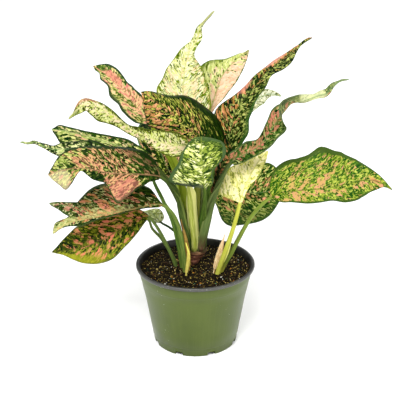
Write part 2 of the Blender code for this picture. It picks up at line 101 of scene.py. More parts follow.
def named(name):
    """Names the object that an operator has just added, and its mesh."""
    piece = bpy.context.object
    piece.name = name
    piece.data.name = name
    return piece


def settle(piece, angle=None):
    """Puts the piece's place into its mesh and smooths its shading, apart from edges over an angle."""
    only(piece)
    bpy.ops.object.transform_apply(location=True, rotation=True, scale=True)
    if angle is None:
        bpy.ops.object.shade_smooth()
    else:
        bpy.ops.object.shade_smooth_by_angle(angle=math.radians(angle))
    return piece


def triangles(piece):
    return sum(len(face.vertices) - 2 for face in piece.data.polygons)


def ready(piece, *nodes, slot=None):
    """The piece rides on the only body and stands for these CAD nodes."""
    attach(piece, "root")
    if nodes:
        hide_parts(*nodes)
    print(f"{piece.name}: {triangles(piece)} triangles")
    return piece


# %% [markdown]
# A finish is a small sum over the surface: where am I, how far from the midrib, how noisy here.
# Wire lets such sums be written as plain Python, each operator adding its Math node, and Finish
# holds the material that they are wired in.

# %% Shader maths as Python


class Wire:
    """An output socket. Sums on wires add Math nodes."""

    def __init__(self, finish, socket):
        self.finish = finish
        self.socket = socket

    def math(self, operation, *others):
        values = {k: value for k, value in enumerate((self, *others))}
        return self.finish.node("ShaderNodeMath", {"operation": operation}, values)

    def __add__(self, other):
        return self.math("ADD", other)

    def __sub__(self, other):
        return self.math("SUBTRACT", other)

    def __mul__(self, other):
        return self.math("MULTIPLY", other)

    def __truediv__(self, other):
        return self.math("DIVIDE", other)

    def __pow__(self, other):
        return self.math("POWER", other)

    def __radd__(self, other):
        return self + other

    def __rmul__(self, other):
        return self * other

    def __rsub__(self, other):
        return self * -1 + other

    def abs(self):
        return self.math("ABSOLUTE")

    def sin(self):
        return self.math("SINE")

    def above(self, start, end):
        """0 below start, 1 above end, and smooth between."""
        return self.finish.node("ShaderNodeMapRange", {"interpolation_type": "SMOOTHSTEP", "clamp": True},
                                {"Value": self, "From Min": start, "From Max": end})


class Finish:
    """A procedural material. node adds any node, and paint feeds the shader."""

    def __init__(self, name, **constants):
        self.material = bpy.data.materials.new(name)
        self.material.use_nodes = True
        self.tree = self.material.node_tree
        self.shader = self.tree.nodes["Principled BSDF"]
        for socket, value in constants.items():
            self.shader.inputs[socket.replace("_", " ")].default_value = value

    def node(self, kind, settings=None, sockets=None, output=0):
        """Adds a node of this kind, with its settings, and with values or wires in its sockets."""
        made = self.tree.nodes.new(kind)
        for name, value in (settings or {}).items():
            setattr(made, name, value)
        for key, value in (sockets or {}).items():
            if isinstance(value, Wire):
                self.tree.links.new(value.socket, made.inputs[key])
            else:
                made.inputs[key].default_value = value
        return Wire(self, made.outputs[output])

    def paint(self, socket, wire):
        self.tree.links.new(wire.socket, self.shader.inputs[socket])

    def mix(self, share, start, end):
        """Colour from start to end by share. A Mix node's colour sockets have no name of their own."""
        start, end = ((*c, 1.0) if isinstance(c, tuple) else c for c in (start, end))
        return self.node("ShaderNodeMix", {"data_type": "RGBA"}, {0: share, 6: start, 7: end}, output=2)

    def spot(self):
        """Object coordinates, in metres."""
        return self.node("ShaderNodeTexCoord", output="Object")

    def place(self):
        """Object coordinates as three wires."""
        return self.parts(self.spot())

    def attribute(self, name):
        """A vector that the mesh keeps at its points, as three wires."""
        return self.parts(self.node("ShaderNodeAttribute", {"attribute_name": name}, output="Vector"))

    def parts(self, vector):
        split = self.node("ShaderNodeSeparateXYZ", {}, {0: vector}).socket.node
        return tuple(Wire(self, output) for output in split.outputs)

    def vector(self, x, y, z=0.0):
        return self.node("ShaderNodeCombineXYZ", {}, {0: x, 1: y, 2: z})

    def noise(self, vector, scale=1.0, detail=2.0, roughness=0.5, distortion=0.0):
        return self.node("ShaderNodeTexNoise", {"noise_dimensions": "3D"},
                         {"Vector": vector, "Scale": scale, "Detail": detail, "Roughness": roughness,
                          "Distortion": distortion})

    def bump(self, height, distance, strength=1.0):
        made = self.node("ShaderNodeBump", {}, {"Height": height, "Distance": distance, "Strength": strength})
        self.paint("Normal", made)


def rgb(red, green, blue):
    """A colour as an eye names it, 0 to 255, made linear."""
    return tuple(((c / 255 + 0.055) / 1.055) ** 2.4 if c > 10 else c / 255 / 12.92
                 for c in (red, green, blue))


print("olive green made linear:", [round(c, 3) for c in rgb(84, 98, 38)])


# %% [markdown]
# The stage is a plain white floor and soft studio light: a large soft lamp high in front, a weak one
# from the right, one from behind to light the leaf edges, and a white world that shows in the gloss.
# A floor that only the lamps light would turn grey towards the back, so it also glows a little, more
# with distance. Under the pot it doesn't glow, so that the drain slots stay dark.

# %% The stage and the lights
FLOOR_RADIUS = 6.0
POT_SHADE = (0.052, 0.06)
GLOW_REACH = (0.2, 3.2)
NO_GLOW, NEAR_GLOW, FAR_GLOW = (0, 0, 0), (0.16, 0.16, 0.16), (0.6, 0.6, 0.6)
WORLD_LIGHT = 0.38
LAMP_AIM = Vector((0.0, 0.0, 0.22))
LAMPS = {
    # name: place and width in metres, watts
    "key": ((-0.5, -1.3, 1.9), 1.2, 58.0),
    "fill": ((1.5, -1.0, 0.9), 1.0, 12.0),
    "back": ((0.3, 1.4, 1.6), 1.0, 20.0),
}


def add_lamp(name, place, width, watts):
    data = bpy.data.lights.new(name, "AREA")
    data.shape = "DISK"
    data.size = width
    data.energy = watts
    lamp = bpy.data.objects.new(name, data)
    bpy.context.scene.collection.objects.link(lamp)
    lamp.location = place
    lamp.rotation_mode = "QUATERNION"
    lamp.rotation_quaternion = (LAMP_AIM - Vector(place)).to_track_quat("-Z", "Y")


def build_stage():
    deselect()
    bpy.ops.mesh.primitive_circle_add(vertices=96, radius=FLOOR_RADIUS, fill_type="NGON")
    floor = settle(named("floor"))
    finish = Finish("floor white", Roughness=0.85, Emission_Strength=1.0)
    x, y, _ = finish.place()
    drift = finish.noise(finish.vector(x, y), scale=3.0, detail=2.0)
    finish.paint("Base Color", finish.mix(drift, (0.88, 0.88, 0.88), (0.92, 0.92, 0.92)))
    away = (x * x + y * y) ** 0.5
    glow = finish.mix(away.above(*GLOW_REACH), NEAR_GLOW, FAR_GLOW)
    finish.paint("Emission Color", finish.mix(away.above(*POT_SHADE), NO_GLOW, glow))
    floor.data.materials.append(finish.material)
    world = bpy.data.worlds.new("white room")
    bpy.context.scene.world = world
    world.use_nodes = True
    sky = world.node_tree.nodes["Background"]
    sky.inputs["Color"].default_value = (1.0, 1.0, 1.0, 1.0)
    sky.inputs["Strength"].default_value = WORLD_LIGHT
    for name, lamp in LAMPS.items():
        add_lamp(name, *lamp)


build_stage()
print("stage with", len(LAMPS), "lamps")

# %% [markdown]
# A nursery pot is vacuum-formed or moulded from thin plastic: a taper, a shallow collar that stacks
# on the next pot, and a rolled lip that stiffens the rim. It could be a turned profile. Here a ring
# is extruded and resized up the outside, over the lip and down the inside, as by hand, which keeps
# every ring at a known radius.

# %% The pot's form
POT_SIDES = 128
POT_RINGS = [
    (55.4, 0.0), (56.6, 0.35), (57.0, 1.6), (57.9, 10.9), (58.35, 11.5), (58.9, 12.2), (61.5, 28.4),
    (64.9, 48.2), (68.2, 68.0), (71.8, 84.0), (73.2, 93.7), (73.7, 94.2), (74.2, 94.9), (75.0, 100.0),
    (75.6, 105.5), (76.0, 108.2), (76.9, 108.7), (78.7, 108.9), (79.6, 109.7), (79.98, 111.0),
    (79.8, 112.3), (79.0, 113.2), (77.8, 113.58), (76.5, 113.4), (75.4, 112.6), (74.7, 111.2),
    (74.0, 109.0), (73.4, 106.0), (72.7, 101.0), (71.4, 92.0), (66.4, 68.0), (54.8, 3.0)]
DRAIN_SLOTS = 8
SLOT_SIZE = (9.0, 11.0, 7.0)
SLOT_REACH = 55.0
SLOT_MIDDLE = 1.5
SLOT_ROUNDING = 1.2
SHARP_ANGLE = 38


def turn_round(reach, turn, height):
    """The place in metres at this distance and direction from the pot's axis."""
    return reach * MM * math.cos(turn), reach * MM * math.sin(turn), height * MM


def build_pot():
    deselect()
    radius, height = POT_RINGS[0]
    bpy.ops.mesh.primitive_circle_add(vertices=POT_SIDES, radius=radius * MM, location=(0, 0, height * MM))
    pot = named("pot_shell")
    bpy.ops.object.mode_set(mode="EDIT")
    bpy.ops.mesh.select_all(action="SELECT")
    for next_radius, next_height in POT_RINGS[1:]:
        bpy.ops.mesh.extrude_edges_move(TRANSFORM_OT_translate={"value": (0, 0, (next_height - height) * MM)})
        share = next_radius / radius
        bpy.ops.transform.resize(value=(share, share, 1.0), center_override=(0, 0, next_height * MM))
        radius, height = next_radius, next_height
    bpy.ops.mesh.edge_face_add()
    bpy.ops.mesh.select_all(action="DESELECT")
    bpy.ops.mesh.select_mode(type="EDGE")
    bpy.ops.mesh.select_non_manifold()
    bpy.ops.mesh.edge_face_add()
    bpy.ops.mesh.select_all(action="SELECT")
    bpy.ops.mesh.normals_make_consistent(inside=False)
    bpy.ops.object.mode_set(mode="OBJECT")
    return pot


def cut_slots(pot):
    """Rounded drain slots across the foot's edge, cut by one Boolean each."""
    for k in range(DRAIN_SLOTS):
        turn = 2 * math.pi * (k + 0.5) / DRAIN_SLOTS
        deselect()
        bpy.ops.mesh.primitive_cube_add(size=MM, location=turn_round(SLOT_REACH, turn, SLOT_MIDDLE),
                                        rotation=(0, 0, turn), scale=SLOT_SIZE)
        cutter = named("slot_cutter")
        bpy.ops.object.transform_apply(location=False, rotation=False, scale=True)
        bevel = cutter.modifiers.new("round", "BEVEL")
        bevel.width = SLOT_ROUNDING * MM
        bevel.segments = 3
        bpy.ops.object.modifier_apply(modifier=bevel.name)
        only(pot)
        boolean = pot.modifiers.new("slot", "BOOLEAN")
        boolean.operation = "DIFFERENCE"
        boolean.solver = "EXACT"
        boolean.object = cutter
        bpy.ops.object.modifier_apply(modifier=boolean.name)
        bpy.data.objects.remove(cutter, do_unlink=True)
    return pot


pot = settle(cut_slots(build_pot()), angle=SHARP_ANGLE)
print("pot height, mm:", round(pot.dimensions.z / MM, 1))

# %% [markdown]
# The pot is moulded in two layers: olive green outside, and black inside and over the lip. So it has
# two finishes, and the faces of the lip and of the inner wall are picked by their place and given
# the black one. The green skin is satin with faint upright flow streaks, and darker and rougher in
# patches over its bottom 9 mm. A few pale scuffs keep it from looking new, and the lip has small
# whitish painted highlights, where its rolled edge would catch the light.

# %% The pot's finish
LIP_START = 108.4
LIP_EDGE = (78.0, 79.3)
POT_FLOOR = (2.5, 4.0)


def round_the_pot(finish):
    """The direction from the pot's axis, its distance from it and its height, both in mm."""
    x, y, z = finish.place()
    return y.math("ARCTAN2", x), (x * x + y * y) ** 0.5 / MM, z / MM


def green_plastic():
    finish = Finish("green pot plastic", Roughness=0.4, Specular_IOR_Level=0.3)
    spot = finish.spot()
    turn, _, height = round_the_pot(finish)
    streaks = finish.noise(finish.vector(turn * 26.0, height * 0.012), detail=3.0, roughness=0.6)
    cloud = finish.noise(spot, scale=22.0, detail=3.0)
    green = finish.mix(cloud.above(0.3, 0.7), rgb(66, 80, 22), rgb(76, 90, 30))
    green = finish.mix(streaks.above(0.45, 0.75) * 0.3, green, rgb(90, 102, 42))
    green = finish.mix(height.above(10.0, 110.0) * 0.6, green, rgb(84, 98, 38))
    # Darker and rougher in patches over the bottom 9 mm.
    foot_patches = (1 - height.above(0.0, 9.0)) * cloud.above(0.35, 0.7)
    green = finish.mix(foot_patches * 0.4, green, rgb(60, 68, 38))
    scuffs = finish.noise(spot, scale=420.0, detail=2.0).above(0.7, 0.73)
    scuff_field = finish.noise(spot, scale=34.0).above(0.63, 0.69)
    finish.paint("Base Color", finish.mix(scuffs * scuff_field * 0.85, green, rgb(226, 230, 210)))
    finish.paint("Roughness", cloud * 0.16 + foot_patches * 0.2 + 0.3)
    grain = finish.noise(spot, scale=900.0, detail=2.0)
    finish.bump(streaks * 0.6 + grain * 0.25, 0.0003, 0.4)
    return finish.material


def black_plastic():
    finish = Finish("black pot plastic", Roughness=0.45, Specular_IOR_Level=0.4)
    turn, away, height = round_the_pot(finish)
    cloud = finish.noise(finish.spot(), scale=60.0, detail=3.0)
    # marks: short whitish painted highlights on the lip, where its rolled edge would catch the light
    marks = finish.noise(finish.vector(turn * 30.0, height * 0.9), detail=3.0).above(0.64, 0.72)
    on_lip = away.above(*LIP_EDGE) * height.above(LIP_START, LIP_START + 1)
    black = finish.mix(cloud.above(0.35, 0.65), rgb(22, 22, 20), rgb(44, 44, 40))
    lip_with_highlights = finish.mix(marks * 0.7, rgb(74, 74, 70), rgb(200, 200, 194))
    finish.paint("Base Color", finish.mix(on_lip, black, lip_with_highlights))
    finish.paint("Roughness", cloud * 0.2 + 0.32)
    finish.bump(cloud, 0.0004, 0.4)
    return finish.material


def dress_pot(pot):
    pot.data.materials.append(green_plastic())
    pot.data.materials.append(black_plastic())
    for face in pot.data.polygons:
        place, normal = face.center, face.normal
        inward = place.x * normal.x + place.y * normal.y < 0 and place.z > POT_FLOOR[0] * MM
        inner_floor = normal.z > 0.9 and POT_FLOOR[0] * MM < place.z < POT_FLOOR[1] * MM
        face.material_index = int(inward or inner_floor or place.z > LIP_START * MM)


dress_pot(pot)
ready(pot, "pot", slot="pot")

# %% [markdown]
# Potting mix settles into soft lumps, a little higher round the plant. It could be sculpted. Here a
# cylinder's top is inset ring by ring and its points are lifted by two slow noises and two fine ones,
# so the same function can later say how high a grain lies. Only the top layer is made, as the pot
# hides the rest.

# %% The soil's form
SOIL_TOP = 105.0
SOIL_BOTTOM = 92.0
SOIL_RADIUS = 73.2
SOIL_RINGS = 45
RING_STEP = 1.58
FOOT_SHARE = 0.966
CANE_FOOT = (-7.0, 10.0)
MOUND_HEIGHT, MOUND_REACH = 2.0, 25.0


def soil_height(x, y):
    """The lumpy top of the soil in mm, level at the wall, with a slight mound under the cane."""
    lump = noise.noise(Vector((x / 11.0, y / 11.0, 3.7)))
    fine = noise.noise(Vector((x / 4.8, y / 4.8, 9.1)))
    away = math.hypot(x - CANE_FOOT[0], y - CANE_FOOT[1])
    level = max(0.0, 1 - (math.hypot(x, y) / SOIL_RADIUS) ** 6)
    mound = MOUND_HEIGHT * math.exp(-(away / MOUND_REACH) ** 2)
    return SOIL_TOP + level * (2.2 * (lump + 0.5 * fine) + mound)


def crumbs(x, y):
    """Finer crumbs on top of the lumps, in mm."""
    level = max(0.0, 1 - (math.hypot(x, y) / SOIL_RADIUS) ** 12)
    return level * (0.9 * noise.noise(Vector((x / 2.1, y / 2.1, 5.0)))
                    + 0.5 * noise.noise(Vector((x / 1.05, y / 1.05, 8.0))))


def build_soil():
    deselect()
    bpy.ops.mesh.primitive_cylinder_add(
        vertices=96, radius=SOIL_RADIUS * MM, depth=(SOIL_TOP - SOIL_BOTTOM) * MM, end_fill_type="NGON",
        location=(0, 0, (SOIL_TOP + SOIL_BOTTOM) / 2 * MM))
    soil = settle(named("soil_mix"))
    bpy.ops.object.mode_set(mode="EDIT")
    bpy.ops.mesh.select_mode(type="FACE")
    bpy.ops.mesh.select_all(action="DESELECT")
    bpy.ops.object.mode_set(mode="OBJECT")
    for face in soil.data.polygons:
        face.select = face.normal.z > 0.9
    bpy.ops.object.mode_set(mode="EDIT")
    for _ in range(SOIL_RINGS):
        bpy.ops.mesh.inset(thickness=RING_STEP * MM, depth=0.0)
    bpy.ops.mesh.poke()
    bpy.ops.object.mode_set(mode="OBJECT")
    for vertex in soil.data.vertices:
        if vertex.co.z > (SOIL_TOP - 1) * MM:
            x, y = vertex.co.x / MM, vertex.co.y / MM
            vertex.co.z = (soil_height(x, y) + crumbs(x, y)) * MM
        else:
            vertex.co.x *= FOOT_SHARE
            vertex.co.y *= FOOT_SHARE
    return soil


soil = settle(build_soil())
print("soil top at the cane, mm:", round(soil_height(*CANE_FOOT), 1))

# %% [markdown]
# Seen close, the mix is almost black peat, with brown shreds of bark and thin pale straws. A photo
# texture would be the quick way. Three noises at three scales do it here: a coarse one for damp and
# dry clumps, and two finer ones whose highest values alone show as bark and as straw.

# %% The soil's finish


def soil_finish():
    finish = Finish("potting mix", Roughness=0.95, Specular_IOR_Level=0.05)
    spot = finish.spot()
    clump = finish.noise(spot, scale=140.0, detail=4.0, roughness=0.65)
    fibre = finish.noise(spot, scale=620.0, detail=3.0, roughness=0.7, distortion=1.2)
    peat = finish.mix(clump.above(0.35, 0.65), rgb(5, 5, 3), rgb(26, 20, 12))
    bark = finish.mix(fibre.above(0.56, 0.64), peat, rgb(54, 42, 22))
    straw = finish.noise(spot, scale=430.0, detail=2.0, distortion=0.8).above(0.63, 0.68)
    finish.paint("Base Color", finish.mix(straw * 0.9, bark, rgb(190, 166, 84)))
    finish.bump(clump + fibre * 0.4, 0.0012, 0.9)
    return finish.material


soil.data.materials.append(soil_finish())
ready(soil, "soil", slot="soil")

# %% [markdown]
# Loose crumbs lie on the mix and catch the light: bark, peat, straw, a few orange chips, white
# perlite and bits of moss. Particles would be lost on export, so the grains are real geometry. Each
# kind is modelled once and copied, and a seeded draw places, turns and sizes every copy. Where a
# slow noise is low most draws are skipped, so the grains lie in drifts.

# %% Loose grains on the soil
EDGE_GAP = 1.8
DRIFT_PACE = 0.09
GRAIN_KINDS = {
    # kind: draws, size range in mm, stretch, darkest and lightest colour
    "bark": (260, (1.6, 4.4), (1.7, 0.8, 0.45), rgb(22, 15, 8), rgb(70, 48, 28)),
    "peat": (640, (1.0, 2.6), (1.1, 1.0, 0.8), rgb(6, 5, 3), rgb(26, 20, 13)),
    "straw": (460, (0.7, 1.9), (1.5, 0.7, 0.5), rgb(128, 106, 40), rgb(232, 210, 128)),
    "orange": (60, (1.2, 3.0), (1.4, 0.9, 0.6), rgb(150, 86, 34), rgb(200, 140, 50)),
    "perlite": (110, (0.8, 1.9), (1.0, 0.9, 0.8), rgb(196, 190, 168), rgb(240, 238, 224)),
    "moss": (60, (1.0, 2.2), (1.2, 1.0, 0.6), rgb(30, 60, 44), rgb(70, 120, 90)),
}


def grain_finish(kind, dark, light):
    finish = Finish(kind + " grain", Roughness=0.85, Specular_IOR_Level=0.08)
    spot = finish.spot()
    tone = finish.noise(spot, scale=190.0, detail=2.0)
    speck = finish.noise(spot, scale=1500.0, detail=2.0)
    colour = finish.mix(tone.above(0.35, 0.65), dark, light)
    finish.paint("Base Color", finish.mix(speck.above(0.5, 0.75) * 0.3, colour, dark))
    finish.bump(speck, 0.0003, 0.6)
    return finish.material


def build_grains(kind, seed):
    """Models one grain, drops its copies on the soil by a seeded draw, and joins them."""
    draws, (least, most), stretch, dark, light = GRAIN_KINDS[kind]
    draw = np.random.default_rng(seed)
    deselect()
    bpy.ops.mesh.primitive_ico_sphere_add(subdivisions=1, radius=0.5, location=(0, 0, 0), scale=stretch)
    first = settle(named(kind + "_grains"))
    for vertex in first.data.vertices:
        vertex.co *= 1 + 0.35 * noise.noise(vertex.co * 3.1 + Vector((seed, 0, 0)))
    copies = []
    for _ in range(draws):
        reach = (SOIL_RADIUS - EDGE_GAP) * math.sqrt(draw.uniform(0, 1))
        turn = draw.uniform(0, 2 * math.pi)
        x, y = reach * math.cos(turn), reach * math.sin(turn)
        if noise.noise(Vector((x * DRIFT_PACE, y * DRIFT_PACE, seed))) + draw.uniform(-0.25, 0.35) < 0:
            continue
        size = least + (most - least) * draw.uniform(0, 1) ** 2
        copy = bpy.data.objects.new(kind + "_copy", first.data.copy())
        bpy.context.scene.collection.objects.link(copy)
        copy.location = (x * MM, y * MM, (soil_height(x, y) + 0.25 * size * stretch[2]) * MM)
        copy.rotation_euler = (draw.uniform(-0.5, 0.5), draw.uniform(-0.5, 0.5), draw.uniform(0, 6.28))
        copy.scale = (size * MM,) * 3
        copies.append(copy)
    bpy.data.objects.remove(first, do_unlink=True)
    only(copies[0])
    for copy in copies:
        copy.select_set(True)
    bpy.ops.object.join()
    grains = settle(named(kind + "_grains"), angle=30)
    grains.data.materials.append(grain_finish(kind, dark, light))
    return ready(grains, slot="soil")


for number, kind in enumerate(GRAIN_KINDS):
    build_grains(kind, seed=number + 3)

# %% [markdown]
# A leaf grew as one piece: a round stalk that flattens into a midrib, and a blade that hangs on it.
# It could be a flat grid bent by hand, but then the stalk would be a separate rod. Here a grid is
# rolled round the whole leaf, so that its long sides meet at the left margin, and each row of it
# takes the outline, cupping and waves that the leaf has at that place. The table gives, in
# millimetres, where each stalk stands, its route, the midrib's route, and the blade's half-widths.

# %% The table of leaves
GAP = 0.3
CROWN = (2.0, 12.0, 128.0)
OUTER_RING = 10.6
INNER_RING = 4.2
HOLE_FLOOR = 84.0
STRAIGHT_TOP = 102.0


class Leaf:
    """How one leaf stands and is formed, in mm and degrees, seen along it from its foot.

    stalk and rib are points that the curve goes through, face is which way the upper side looks, and
    left and right are half-widths from base to tip, the same where right isn't said. rise and bend
    lift and curl the left and the right half. wave is the ripple's height, number and phase, thick
    is the stalk's radius at foot and blade, and wing is how far its thin flat sides reach."""

    def __init__(self, foot, stalk, rib, face, left, right=None, rise=(0, 0), bend=(0, 0),
                 wave=(2.0, 2.0, 0.0), thick=(3.0, 2.1), wing=0.0):
        self.foot, self.stalk, self.rib, self.face = foot, stalk, rib, face
        self.left, self.right, self.rise, self.bend = left, right or left, rise, bend
        self.wave, self.thick, self.wing = wave, thick, wing


def ring_foot(radius, degrees):
    """A foot on the cane's top, this far from its centre and in this direction."""
    turn = math.radians(degrees)
    return (CROWN[0] + radius * math.cos(turn), CROWN[1] + radius * math.sin(turn), CROWN[2] + GAP)


def soil_foot(x, y):
    """A foot in its hole in the soil."""
    return (x, y, HOLE_FLOOR + GAP)


